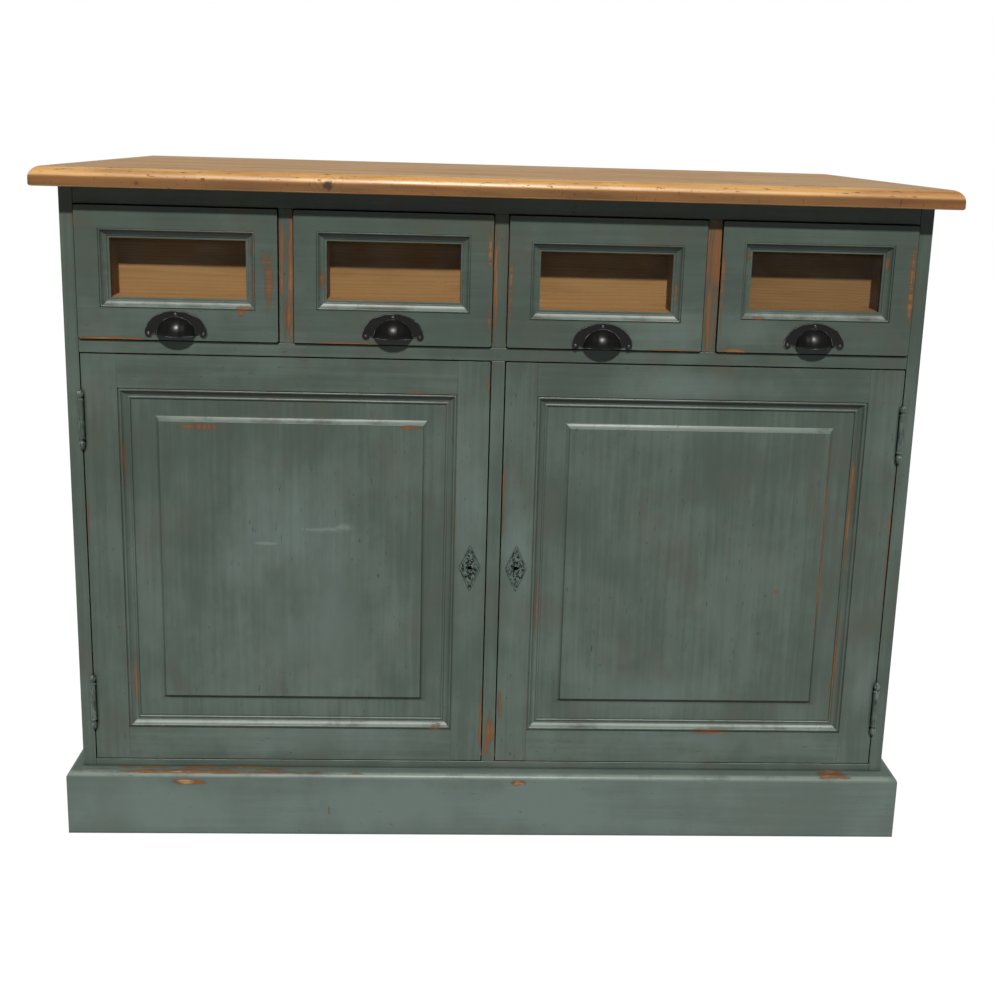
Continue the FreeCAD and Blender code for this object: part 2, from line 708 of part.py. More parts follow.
def lock_stile():
    body = new_body("lock_stile", DOOR_X + " + DoorWidth - LockStileWidth", "FrontY", "DoorFoot")
    pad(body, "Stile", "Z", "0", "DoorHeight", rectangle("0", "0", "LockStileWidth", "DoorThickness"))
    groove = rectangle("0", "PanelFaceDepth", "PanelGroove", PANEL_BACK)
    pocket(body, "PanelSlot", "Z", "0", "DoorHeight", groove)
    bore = ("LockStileWidth / 2", "LockHeight", "KeyBoreRadius")
    pocket(body, "KeyBore", "Y", "0", "DoorThickness", circles=[bore])
    return body


def door_rail(label, z, height, groove_side):
    """A door rail, grooved for the panel, with tenons that fill the ends of the stile grooves."""
    body = new_body(label, DOOR_X + " + HingeStileWidth", "FrontY", z)
    pad(body, "Rail", "X", "0", "FrameOpeningWidth", rectangle("0", "0", "DoorThickness", height))
    if groove_side == "upper":
        groove = rectangle("PanelFaceDepth", height + " - PanelGroove", PANEL_BACK, height)
        tenon = rectangle("PanelFaceDepth", "0", PANEL_BACK, height + " - PanelGroove")
    else:
        groove = rectangle("PanelFaceDepth", "0", PANEL_BACK, "PanelGroove")
        tenon = rectangle("PanelFaceDepth", "PanelGroove", PANEL_BACK, height)
    pocket(body, "PanelSlot", "X", "0", "FrameOpeningWidth", groove)
    pad(body, "Tenons", "X", "-PanelGroove", "FrameOpeningWidth + 2 * PanelGroove", tenon)
    return body


def door_panel(label, door_margins):
    """The fielded panel: a flat border in the frame's grooves, and a raised field with coved edges."""
    hinge_margin, lock_margin = door_margins
    field_width = "(FrameOpeningWidth - 2 * DoorMouldingWidth - %s - %s)" % door_margins
    field_height = "(FrameOpeningHeight - 2 * DoorMouldingWidth - FieldMarginTop - FieldMarginBottom)"
    left = "DoorMouldingWidth + %s + %s / 2" % (hinge_margin, field_width)
    foot = "DoorMouldingWidth + FieldMarginBottom"
    body = new_body(label, DOOR_X + " + HingeStileWidth + " + left, "FrontY",
                    "DoorFoot + DoorBottomRail + " + foot)
    reach = "(PanelGroove - PanelClearance)"
    border = rectangle("-(%s) - %s" % (left, reach), "-(%s) - %s" % (foot, reach),
                       "FrameOpeningWidth - (%s) + %s" % (left, reach),
                       "FrameOpeningHeight - (%s) + %s" % (foot, reach))
    pad(body, "Border", "Y", "PanelFaceDepth", "PanelThickness", border)
    half = "(%s / 2 - FieldBevel)" % field_width
    flat = rectangle("-" + half, "FieldBevel", half, field_height + " - FieldBevel")
    pad(body, "Field", "Y", "PanelFaceDepth - FieldRise", "FieldRise", flat)
    foot_of_cove = ("PanelFaceDepth", "0")
    head_of_cove = ("PanelFaceDepth - FieldRise + FieldStep", "FieldBevel")
    cove = [foot_of_cove, arc_to(foot_of_cove, head_of_cove, COVE_BULGE),
            ("PanelFaceDepth - FieldRise + FieldStep", "FieldBevel + CoveRoot"),
            ("PanelFaceDepth + CoveRoot", "FieldBevel + CoveRoot"), ("PanelFaceDepth + CoveRoot", "0")]
    mitred_frame(body, "Cove", field_width, field_height, cove)
    return body


def door_moulding():
    """A planted moulding round the inside of the frame: quirk, bead, hollow and small bead."""
    body = new_body("left_door_moulding", DOOR_X + " + HingeStileWidth + FrameOpeningWidth / 2", "FrontY",
                    "DoorFoot + DoorBottomRail")
    bead_start = ("DoorQuirkDepth", "DoorQuirkWidth")
    bead_end = ("DoorQuirkDepth", "DoorQuirkWidth + DoorBeadWidth")
    fillet_start = ("DoorFilletDepth", "DoorMouldingWidth - DoorFilletWidth")
    fillet_end = ("DoorFilletDepth", "DoorMouldingWidth")
    profile = [
        ("PanelFaceDepth", "0"),
        ("DoorQuirkDepth", "0"),
        bead_start,
        arc_to(bead_start, bead_end, BEAD_BULGE),
        arc_to(bead_end, fillet_start, HOLLOW_BULGE),
        arc_to(fillet_start, fillet_end, BEAD_BULGE),
        ("PanelFaceDepth", "DoorMouldingWidth"),
    ]
    mitred_frame(body, "Moulding", "FrameOpeningWidth", "FrameOpeningHeight", profile)
    return body


def escutcheon():
    """A diamond plate with a raised rim and a keyhole, on the middle of the lock stile."""
    body = new_body("left_door_escutcheon", DOOR_X + " + DoorWidth - LockStileWidth / 2", "FrontY",
                    "DoorFoot + LockHeight")
    def diamond(inset):
        half_width = "(EscutcheonWidth / 2 - %s)" % inset
        half_height = "(EscutcheonHeight - %s * 2 * EscutcheonHeight / EscutcheonWidth) / 2" % inset
        return [(half_width, "0"), ("0", half_height), ("-" + half_width, "0"), ("0", "-" + half_height)]
    pad(body, "Plate", "Y", "-EscutcheonThickness", "EscutcheonThickness", diamond("0"))
    rise = "EscutcheonThickness + EscutcheonRimRise"
    pad(body, "Rim", "Y", "-(%s)" % rise, rise, diamond("0"), diamond("EscutcheonRim"))
    keyhole = ("0", "0", "KeyholeRadius")
    pocket(body, "Keyhole", "Y", "-EscutcheonThickness", "EscutcheonThickness", circles=[keyhole])
    slot = rectangle("-KeyholeSlotWidth / 2", "-KeyholeSlotLength", "KeyholeSlotWidth / 2", "0")
    pocket(body, "KeyholeSlot", "Y", "-EscutcheonThickness", "EscutcheonThickness", slot)
    return body


LOCK_X = DOOR_X + " + DoorWidth - LockEdgeInset"
LOCK_Y = "FrontY + DoorThickness"


def bolt_section(clearance):
    """Section of the lock bolt, in depth and height, with a clearance round it."""
    near = "(LockCaseThickness - BoltThickness) / 2 - %s" % clearance
    far = "(LockCaseThickness + BoltThickness) / 2 + %s" % clearance
    return rectangle(near, "-BoltWidth / 2 - %s" % clearance, far, "BoltWidth / 2 + %s" % clearance)


def lock_case():
    """The lock on the back of the lock stile, with the channel that its bolt slides in."""
    body = new_body("left_lock_case", LOCK_X, LOCK_Y, "DoorFoot + LockHeight")
    case = rectangle("-LockCaseWidth", "-LockCaseHeight / 2", "0", "LockCaseHeight / 2")
    pad(body, "Case", "Y", "0", "LockCaseThickness", case)
    channel = "(BoltSetback + BoltLength + BoltClearance)"
    pocket(body, "BoltChannel", "X", "-" + channel, channel, bolt_section("BoltClearance"))
    keyhole = ("-LockStileWidth / 2 + LockEdgeInset", "0", "KeyholeRadius")
    pocket(body, "KeyEntry", "Y", "0", "LockCaseThickness / 2", circles=[keyhole])
    return body


def lock_bolt():
    """The bolt, drawn back inside the case; it throws towards the centre partition."""
    body = new_body("left_lock_bolt", LOCK_X + " - BoltSetback - BoltLength", LOCK_Y, "DoorFoot + LockHeight")
    pad(body, "Bolt", "X", "0", "BoltLength", bolt_section("0"))
    return body


def doors():
    stiles = [hinge_stile(), lock_stile()]
    rails = [door_rail("lower_rail", "DoorFoot", "DoorBottomRail", "upper"),
             door_rail("upper_rail", "DoorFoot + DoorHeight - DoorTopRail", "DoorTopRail", "lower")]
    group("left_door_stiles", stiles)
    group("left_door_rails", rails)
    group("right_door_stiles", [mirrored(piece, "right_" + piece.Label) for piece in stiles])
    group("right_door_rails", [mirrored(piece, "right_" + piece.Label) for piece in rails])
    keep(door_panel("left_door_panel", ("LeftFieldHingeMargin", "LeftFieldLockMargin")))
    pattern = door_panel("right_panel_unmirrored", ("RightFieldHingeMargin", "RightFieldLockMargin"))
    keep(mirrored(pattern, "right_door_panel"))
    for make in (door_moulding, escutcheon, lock_case, lock_bolt):
        piece = keep(make())
        keep(mirrored(piece, piece.Label.replace("left", "right")))


# Drawers, each drawn from the middle of its front's lower edge

def drawer_body(label, index):
    return new_body(label, drawer_centre(index), "DrawerFaceY", "DrawerFrontFoot")


def window_sill(index):
    return "(WindowMarginBottom + %s)" % WINDOW_RISES[index]


def drawer_front(index):
    """A thick board with the window cut through it and laps for the drawer sides."""
    body = drawer_body("drawer_%d_front" % (index + 1), index)
    half = "DrawerWidth / 2"
    pad(body, "Board", "Y", "0", "DrawerFrontThickness",
        rectangle("-(%s)" % half, "0", half, "DrawerFrontHeight"))
    side = number(half)
    corners = [(x, z) for x in (-side, side) for z in (0.0, number("DrawerFrontHeight"))]
    round_edges(body, "Corners", "DrawerCornerRadius",
                lambda edge: any(runs_at(edge, x=x, z=z) for x, z in corners))
    sill = window_sill(index)
    window = rectangle("-WindowWidth / 2", sill, "WindowWidth / 2", sill + " + WindowHeight")
    pocket(body, "Window", "Y", "0", "DrawerFrontThickness", window)
    laps = [rectangle("-(%s)" % half, "0", "-BoxInnerHalf", "BoxFoot + DrawerSideHeight"),
            rectangle("BoxInnerHalf", "0", half, "BoxFoot + DrawerSideHeight")]
    pocket(body, "SideLaps", "Y", "DrawerFrontThickness - DrawerSideLap", "DrawerSideLap", *laps)
    groove = rectangle("-BoxInnerHalf - DrawerBottomGroove", "BottomTop - DrawerBottomThickness",
                       "BoxInnerHalf + DrawerBottomGroove", "BottomTop")
    pocket(body, "BottomSlot", "Y", "DrawerFrontThickness - DrawerBottomGroove", "DrawerBottomGroove", groove)
    return body


def window_moulding(index):
    """The moulding that slopes in from the drawer's face to the glass."""
    body = new_body("drawer_%d_window_moulding" % (index + 1), drawer_centre(index), "DrawerFaceY",
                    "DrawerFrontFoot + " + window_sill(index))
    bead_start = ("WindowBeadDepth", "0")
    bead_end = ("WindowBeadDepth", "WindowBeadWidth")
    cove_start = ("WindowQuirkDepth", "WindowBeadWidth")
    cove_end = ("WindowCoveDepth", "WindowMouldingWidth - WindowFilletWidth")
    profile = [
        ("WindowMouldingDepth", "0"),
        bead_start,
        arc_to(bead_start, bead_end, BEAD_BULGE),
        cove_start,
        arc_to(cove_start, cove_end, HOLLOW_BULGE),
        ("WindowFilletDepth", "WindowMouldingWidth - WindowFilletWidth"),
        ("WindowFilletDepth", "WindowMouldingWidth"),
        ("WindowMouldingDepth", "WindowMouldingWidth"),
    ]
    mitred_frame(body, "Moulding", "WindowWidth", "WindowHeight", profile)
    return body


def window_glass(index):
    """The pane behind the moulding."""
    body = drawer_body("drawer_%d_glass" % (index + 1), index)
    sill = window_sill(index)
    pane = rectangle("-WindowWidth / 2 + GlassClearance", sill + " + GlassClearance",
                     "WindowWidth / 2 - GlassClearance", sill + " + WindowHeight - GlassClearance")
    pad(body, "Pane", "Y", "WindowMouldingDepth", "GlassThickness", pane)
    return body


def display_case(index):
    """The slot behind the glass, open at the top: a lining on three sides and a board behind."""
    lining = drawer_body("display_lining_%d" % (index + 1), index)
    sill = window_sill(index)
    half = "WindowWidth / 2"
    inner = "WindowWidth / 2 - WindowMouldingWidth"
    head = sill + " + WindowHeight"
    shelf = sill + " + WindowMouldingWidth"
    outline = [("-(%s)" % half, sill), (half, sill), (half, head), (inner, head), (inner, shelf),
               ("-(%s)" % inner, shelf), ("-(%s)" % inner, head), ("-(%s)" % half, head)]
    pad(lining, "Lining", "Y", "GlassBack", "DisplayDepth", outline)
    back = drawer_body("display_board_%d" % (index + 1), index)
    panel = rectangle("-BoxInnerHalf", "BottomTop", "BoxInnerHalf", head)
    pad(back, "Board", "Y", "DisplayBack", "DisplayBoardThickness", panel)
    return group("drawer_%d_display_case" % (index + 1), [lining, back])


def drawer_box(index):
    """Two sides, a back and a bottom behind the drawer front."""
    name = "drawer_%d_" % (index + 1)
    start = "DrawerFrontThickness - DrawerSideLap"
    head = "BoxFoot + DrawerSideHeight"
    sides = []
    for hand, sign in (("left", "-"), ("right", "")):
        side = drawer_body(name + hand + "_side", index)
        outer = sign + "(DrawerWidth / 2)"
        inner = sign + "BoxInnerHalf"
        slot = sign + "(BoxInnerHalf + DrawerBottomGroove)"
        near, far = (outer, inner) if hand == "left" else (inner, outer)
        pad(side, "Board", "Y", start, "DrawerLength - (%s)" % start, rectangle(near, "BoxFoot", far, head))
        near, far = (slot, inner) if hand == "left" else (inner, slot)
        groove = rectangle(near, "BottomTop - DrawerBottomThickness", far, "BottomTop")
        pocket(side, "BottomSlot", "Y", start, "DrawerLength - (%s)" % start, groove)
        sides.append(side)
    back = drawer_body(name + "back", index)
    pad(back, "Board", "Y", "DrawerLength - DrawerSideThickness", "DrawerSideThickness",
        rectangle("-BoxInnerHalf", "BottomTop", "BoxInnerHalf", head))
    bottom = drawer_body(name + "bottom", index)
    near = "DrawerFrontThickness - DrawerBottomGroove"
    pad(bottom, "Board", "Y", near, "DrawerLength - (%s)" % near,
        rectangle("-BoxInnerHalf - DrawerBottomGroove", "BottomTop - DrawerBottomThickness",
                  "BoxInnerHalf + DrawerBottomGroove", "BottomTop"))
    return group(name + "box", sides + [back, bottom])


def half_ellipse(half_width, height, facets):
    """Straight facets over an ellipse, from its right end on the axis to its left end."""
    turns = [math.pi * i / facets for i in range(1, facets)]
    arch = [("%.5f * (%s)" % (math.cos(turn), half_width), "%.5f * (%s)" % (math.sin(turn), height))
            for turn in turns]
    return [(half_width, "0")] + arch + [("-(%s)" % half_width, "0")]


def on_plate(degrees):
    """A point on the arched edge of a pull's plate, turned up from its right end."""
    turn = math.radians(degrees)
    return ("%.5f * PullWidth / 2" % math.cos(turn),
            "PullEarRadius + %.5f * (PullHeight - PullEarRadius)" % math.sin(turn))


def cup_pull(index):
    """A cast cup pull: an arched plate with two ears, and a hollow half cup open underneath."""
    centre = "%s + %s" % (drawer_centre(index), PULL_SHIFTS[index])
    body = new_body("drawer_%d_pull" % (index + 1), centre, "DrawerFaceY",
                    "DrawerFrontFoot + %s - PullDrop - PullHeight" % window_sill(index))
    outer = half_ellipse("CupWidth / 2", "CupRadius", CUP_FACETS)
    inner = half_ellipse("CupWidth / 2 - CupWall", "CupRadius - CupWall", HOLLOW_FACETS)
    profile = sketch_across(body, "Cup", "Y", "CupAxisDepth", [outer + inner[::-1]])
    profile.setExpression(".AttachmentOffset.Base.y", link("CupLip"))
    cup = body.newObject("PartDesign::Revolution", "Cup")
    cup.Profile = profile
    cup.ReferenceAxis = (profile, ["H_Axis"])
    cup.Angle = 90.0
    cup.Reversed = False
    trim = rectangle("-CupWidth", "-CupWidth", "CupWidth", "CupWidth")
    pocket(body, "FlatBack", "Y", "0", "2 * CupRadius", trim)
    ear = "(PullWidth / 2 - PullEarRadius)"
    opening = "(CupWidth / 2 - PullOpeningInset)"
    plate = [
        ("-PullWidth / 2", "PullEarRadius", "-" + ear, "0"),
        on_plate(180 - PLATE_JOIN) + on_plate(180 - PLATE_PASS),
        on_plate(PLATE_JOIN) + ("0", "PullHeight"),
        ("PullWidth / 2", "PullEarRadius") + on_plate(PLATE_PASS),
        (ear + " - PullEarRadius", "PullEarRadius", ear, "0"),
        (opening, "CupLip"),
        ("-" + opening, "CupLip", "0", "CupLip + CupRadius - PullOpeningInset"),
        ("-" + ear + " + PullEarRadius", "PullEarRadius"),
    ]
    pad(body, "Plate", "Y", "-PullPlateThickness", "PullPlateThickness", plate)
    return body


def drawers():
    for index in range(4):
        keep(drawer_front(index))
        keep(window_moulding(index))
        keep(window_glass(index))
        display_case(index)
        drawer_box(index)
        keep(cup_pull(index))


carcass()
hinges()
doors()
drawers()
doc.recompute()


# Every object has to be sound before anything is written

for item in doc.Objects:
    if "Invalid" in item.State or "Error" in item.State:
        raise RuntimeError("%s could not be built: %s" % (item.Label, item.State))
    if item.TypeId == "PartDesign::Pocket" and item.Shape.Volume >= item.BaseFeature.Shape.Volume - 0.001:
        raise RuntimeError("%s cuts nothing" % item.Name)
for item in nodes:
    if item.Shape.isNull() or not item.Shape.isValid() or not item.Shape.Solids:
        raise RuntimeError("%s is not a sound solid" % item.Label)

os.makedirs("parts", exist_ok=True)
for item in nodes:
    item.Shape.exportStep(os.path.join("parts", item.Label + ".step"))
print("%d sub-parts written" % len(nodes))
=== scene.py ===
import math

import bmesh
import bpy
from mathutils import Matrix, Vector


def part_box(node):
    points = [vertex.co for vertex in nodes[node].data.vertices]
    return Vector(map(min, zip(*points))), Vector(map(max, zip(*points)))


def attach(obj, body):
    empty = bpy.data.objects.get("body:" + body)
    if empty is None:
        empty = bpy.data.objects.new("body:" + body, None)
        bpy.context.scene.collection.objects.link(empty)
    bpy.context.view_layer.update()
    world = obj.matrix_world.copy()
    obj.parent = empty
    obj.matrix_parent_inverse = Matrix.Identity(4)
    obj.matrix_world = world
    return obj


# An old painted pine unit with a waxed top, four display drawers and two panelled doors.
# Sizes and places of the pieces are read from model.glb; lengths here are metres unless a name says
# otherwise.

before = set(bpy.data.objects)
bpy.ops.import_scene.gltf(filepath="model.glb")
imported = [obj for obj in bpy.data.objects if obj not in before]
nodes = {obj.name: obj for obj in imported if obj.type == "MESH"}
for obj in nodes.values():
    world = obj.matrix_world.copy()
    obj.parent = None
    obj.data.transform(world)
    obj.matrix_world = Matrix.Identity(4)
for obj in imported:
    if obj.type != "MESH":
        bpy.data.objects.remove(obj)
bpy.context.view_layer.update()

MM = 0.001
SIDES = ("left", "right")
DRAWERS = (1, 2, 3, 4)

# The face of the frame, the face of the right end, and the corners of the worktop
front_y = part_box("top_rail")[0].y
end_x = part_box("side_panel_right")[1].x
top_low, top_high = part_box("worktop")

# The camera stands where the photograph was taken from. Its angles are in radians.
IMAGE_WIDTH, IMAGE_HEIGHT = 994, 995
FOCAL_LENGTH_PIXELS = 1250.0
OPTICAL_CENTRE_PIXELS = (508.5, 393.0)
SENSOR_MM = 36.0
CAMERA_FROM_FRONT = 1.6386
CAMERA_SIDEWAYS = -0.056
CAMERA_HEIGHT = 0.9878
CAMERA_YAW = 0.0431
CAMERA_PITCH = -0.2073
CAMERA_ROLL = 0.0288
NEAREST_SEEN = 0.01

# The key light comes from straight ahead and from above; its slope is read from the shadow of the worktop.
KEY_SLOPE = 0.98
KEY_STRENGTH = 3.9
KEY_SPREAD = math.radians(3.0)
KEY_COLOUR = (1.0, 0.985, 0.95)
# Two weaker lamps from behind light only the ends and the back.
SIDE_STRENGTH = 1.3
SIDE_SPREAD = math.radians(25.0)
SIDE_COLOUR = (1.0, 1.0, 1.0)
SIDE_DIRECTION = (1.0, 0.38, 0.30)
FILL_STRENGTH = 0.06
FILL_COLOUR = (0.93, 0.97, 1.0, 1)
# The floor looks white, but throws back only as much light as its grey does.
FLOOR_SIZE = 14.0
FLOOR_GREY = (0.20, 0.20, 0.20, 1)
FLOOR_GLOW = 0.82
WHITE = (1, 1, 1, 1)

# Colours, linear
PAINT = (0.064, 0.089, 0.073, 1)
PAINT_PALE = (0.112, 0.150, 0.134, 1)
PAINT_DEEP = (0.050, 0.070, 0.058, 1)
PAINT_BROWN = (0.069, 0.076, 0.058, 1)
# Dust with a painted highlight, for slopes that face up
PAINT_DUST_HIGHLIGHT = (0.175, 0.210, 0.185, 1)
PAINT_SCRATCH = (0.20, 0.24, 0.22, 1)
NICK = (0.018, 0.027, 0.022, 1)
RUBBED_WOOD = (0.180, 0.074, 0.024, 1)
RUBBED_CORE = (0.380, 0.230, 0.105, 1)
RUBBED_RIM = (0.078, 0.055, 0.034, 1)
WAXED_EARLY = (0.620, 0.335, 0.092, 1)
WAXED_LATE = (0.270, 0.105, 0.026, 1)
# Wear with a painted sheen, for the worktop's top face
WAXED_WORN_SHEEN = (0.530, 0.395, 0.265, 1)
SHOWN_EARLY = (0.290, 0.165, 0.062, 1)
SHOWN_LATE = (0.165, 0.082, 0.026, 1)
INNER_EARLY = (0.400, 0.250, 0.118, 1)
INNER_LATE = (0.270, 0.145, 0.060, 1)
BACK_EARLY = (0.230, 0.135, 0.066, 1)
BACK_LATE = (0.140, 0.074, 0.034, 1)
KNOT = (0.050, 0.016, 0.006, 1)
# Dirt with painted shade, for hollows, creases and what faces down
DIRT_AND_SHADE = (0.011, 0.013, 0.010, 1)
PIT = (0.008, 0.011, 0.009, 1)
IRON = (0.010, 0.010, 0.009, 1)
STEEL = (0.42, 0.41, 0.39, 1)
SCREW_STEEL = (0.075, 0.072, 0.066, 1)
DUST = (0.25, 0.28, 0.27, 1)

# How deep a material's relief is
GRAIN_DEPTH = 0.15 * MM
WAXED_GRAIN_DEPTH = 0.2 * MM
BRUSH_DEPTH = 0.12 * MM
CASTING_DEPTH = 0.03 * MM
CHIP_DEPTH = 0.25 * MM
CRUST_DEPTH = 1.6 * MM

# How far wear, dirt, painted shade and the worktop's painted sheen reach
ARRIS_RADIUS = 1.6 * MM
METAL_ARRIS_RADIUS = 0.8 * MM
PAINT_DIRT_AND_SHADE_REACH = 7 * MM
HINGE_DIRT_AND_SHADE_REACH = 5 * MM
PLATE_DIRT_AND_SHADE_REACH = 4 * MM
BLEACHED_SHEEN_DEPTH = 4.0 * MM
KEYHOLE_WEAR_HALF_WIDTH = 13 * MM
KEYHOLE_WEAR_HALF_HEIGHT = 24 * MM

# How far back from the front the paint goes, and how far it stops short of a drawer front's back
FRAME_PAINT_REACH = 19.6 * MM
PANEL_PAINT_REACH = 15.5 * MM
DRAWER_BACK_MARGIN = 0.4 * MM
# How uneven and how soft the paint's end is, and how thick a skin of the two ends is painted to the back
PAINT_CREEP = 1.5 * MM
PAINT_FRINGE = 0.6 * MM
OUTER_SKIN = 1.0 * MM

WOOD_RINGS_PER_METRE = 170.0
SEAM_WIDTH = 0.7 * MM
WORKTOP_BOARDS = 4
# Widths of the boards that a piece is glued up from. One board is wider than any piece made of it.
BACK_BOARD_WIDTH = 0.1122
INNER_BOARD_WIDTH = 0.16
SHELF_BOARD_WIDTH = 0.14
ONE_BOARD = 0.5
# How far the grain of each board is shifted from its neighbour's, in metres
BOARD_JUMP = (0.37, 0.83, 0.59)


# Materials

class Tree:
    """A material that grows node by node.

    An input is a number, a colour, a vector or another node's output.
    """

    def __init__(self, name):
        self.material = bpy.data.materials.new(name)
        self.material.use_nodes = True
        self.tree = self.material.node_tree
        self.tree.nodes.clear()

    def add(self, kind, inputs=(), output=0, **settings):
        made = self.tree.nodes.new("ShaderNode" + kind)
        for name, setting in settings.items():
            setattr(made, name, setting)
        for key, given in dict(inputs).items():
            if isinstance(given, bpy.types.NodeSocket):
                self.tree.links.new(given, made.inputs[key])
            else:
                made.inputs[key].default_value = given
        return made.outputs[output]

    def math(self, operation, a, b=0.0, clamp=False):
        return self.add("Math", {0: a, 1: b}, operation=operation, use_clamp=clamp)

    def plus(self, a, b, clamp=False):
        return self.math("ADD", a, b, clamp)

    def minus(self, a, b):
        return self.math("SUBTRACT", a, b)

    def times(self, a, b, clamp=False):
        return self.math("MULTIPLY", a, b, clamp)

    def larger(self, a, b):
        return self.math("MAXIMUM", a, b)

    def vector(self, operation, a, b):
        return self.add("VectorMath", {0: a, 1: b}, operation=operation)

    def length(self, a):
        return self.add("VectorMath", {0: a}, output="Value", operation="LENGTH")

    def dot(self, a, b):
        return self.add("VectorMath", {0: a, 1: b}, output="Value", operation="DOT_PRODUCT")

    def place(self):
        """The point on the piece at rest, in metres, in the frame that all pieces share."""
        return self.add("TexCoord", output="Object")

    def noise(self, place, scale, detail=3.0, roughness=0.55):
        """Noise from 0 to 1, with a number of features per metre along each axis."""
        stretched = self.vector("MULTIPLY", place, scale)
        return self.add("TexNoise", {"Vector": stretched, "Scale": 1.0, "Detail": detail,
                                     "Roughness": roughness})

    def between(self, value, low, high):
        """0 at low and 1 at high, smoothly."""
        return self.add("MapRange", {"Value": value, "From Min": low, "From Max": high},
                        interpolation_type="SMOOTHSTEP")

    def spread(self, value, low, high, at_low, at_high):
        """A straight line from at_low, where the value is low, to at_high, where it is high."""
        return self.add("MapRange", {"Value": value, "From Min": low, "From Max": high, "To Min": at_low,
                                     "To Max": at_high})

    def along(self, axis, vector):
        """One of a vector's three numbers."""
        return self.add("SeparateXYZ", {0: vector}, output=axis)

    def normal(self):
        return self.add("NewGeometry", output="Normal")

    def openness(self, reach):
        """1 in the open, and less the more the shape closes in within a reach."""
        return self.add("AmbientOcclusion", {"Distance": reach}, output="AO", samples=6)

    def mix(self, share, a, b):
        """Colour a, with a share of colour b."""
        made = self.tree.nodes.new("ShaderNodeMix")
        made.data_type = "RGBA"
        # Its sockets for colours share their names with others, so they are told by number.
        for index, given in ((0, share), (6, a), (7, b)):
            if isinstance(given, bpy.types.NodeSocket):
                self.tree.links.new(given, made.inputs[index])
            else:
                made.inputs[index].default_value = given
        return made.outputs[2]

    def bump(self, height, depth):
        return self.add("Bump", {"Height": height, "Strength": 1.0, "Distance": depth})

    def close(self, surface):
        """End the material with a surface shader."""
        output = self.tree.nodes.new("ShaderNodeOutputMaterial")
        self.tree.links.new(surface, output.inputs["Surface"])
        return self.material

    def finish(self, **sockets):
        """End the material with one principled shader. An underscore in a name stands for a space."""
        inputs = {name.replace("_", " "): given for name, given in sockets.items()}
        return self.close(self.add("BsdfPrincipled", inputs))


# Features per metre along each of the three axes, for grain or brush strokes that run along X, Y or Z
STREAKS = {"X": (5, 130, 130), "Y": (130, 5, 130), "Z": (130, 130, 5)}
RAGS = {"X": (22, 160, 160), "Y": (160, 22, 160), "Z": (160, 160, 22)}
FIBRES = {"X": (14, 900, 900), "Y": (900, 14, 900), "Z": (900, 900, 14)}
NICKS = {"X": (70, 330, 330), "Y": (330, 70, 330), "Z": (330, 330, 70)}
CLOUDS = {"X": (5, 26, 26), "Y": (26, 5, 26), "Z": (26, 26, 5)}
# The two axes across the grain, which the growth rings are counted on
ACROSS = {"X": (0, 1, 1), "Y": (1, 0, 1), "Z": (1, 1, 0)}


def ragged(tree, place, run):
    """A broken pattern along the grain, about 0 on average."""
    fine = tree.noise(place, RAGS[run], detail=6.0, roughness=0.7)
    return tree.times(tree.minus(fine, 0.5), 3.4)


def reach_from(tree, place, box, mark):
    """How far a point is from the middle of a mark: 1 on the mark's outline."""
    low, high = box
    across, up, width, height = mark
    centre = (low.x + across * (high.x - low.x), 0, low.z + up * (high.z - low.z))
    offset = tree.vector("SUBTRACT", place, centre)
    return tree.length(tree.vector("MULTIPLY", offset, (2 / (width * MM), 0, 2 / (height * MM))))


def spots(tree, place, box, marks):
    """A mask of ragged patches.

    A mark is its place across and up the piece, as shares, and its width and height in mm.
    """
    mask = None
    broken = {}
    for mark in marks:
        width, height = mark[2:]
        run = "X" if width > height else "Z"
        if run not in broken:
            broken[run] = ragged(tree, place, run)
        patch = tree.between(tree.plus(reach_from(tree, place, box, mark), broken[run]), 1.25, 0.35)
        mask = patch if mask is None else tree.larger(mask, patch)
    return mask


def clouds(tree, place, box, marks):
    """A soft mask of the same kind of marks."""
    mask = None
    drift = tree.minus(tree.noise(place, (16, 16, 9), detail=5.0, roughness=0.6), 0.5)
    drift = tree.times(drift, 2.6)
    for mark in marks:
        patch = tree.between(tree.plus(reach_from(tree, place, box, mark), drift), 1.5, 0.1)
        mask = patch if mask is None else tree.larger(mask, patch)
    return mask


def edges(tree, radius):
    """About 1 on the arrises and in the corners of the shape, and 0 on its flats."""
    bevel = tree.add("Bevel", {"Radius": radius}, samples=6)
    return tree.between(tree.dot(bevel, tree.normal()), 0.995, 0.90)


def grown_round(tree, place, rings, knots):
    """Growth rings that bend round the knots, and a mask of the dark hearts of the knots."""
    hearts = None
    for centre, radius in knots:
        away = tree.length(tree.vector("SUBTRACT", place, centre))
        near = tree.between(away, 3.0 * radius, 0.2 * radius)
        rings = tree.plus(rings, tree.times(near, 2.0))
        uneven = tree.times(tree.noise(place, (240, 240, 240), detail=3.0), 1.6 * radius)
        heart = tree.between(tree.plus(away, uneven), 1.9 * radius, 1.2 * radius)
        hearts = heart if hearts is None else tree.larger(hearts, heart)
    return rings, hearts


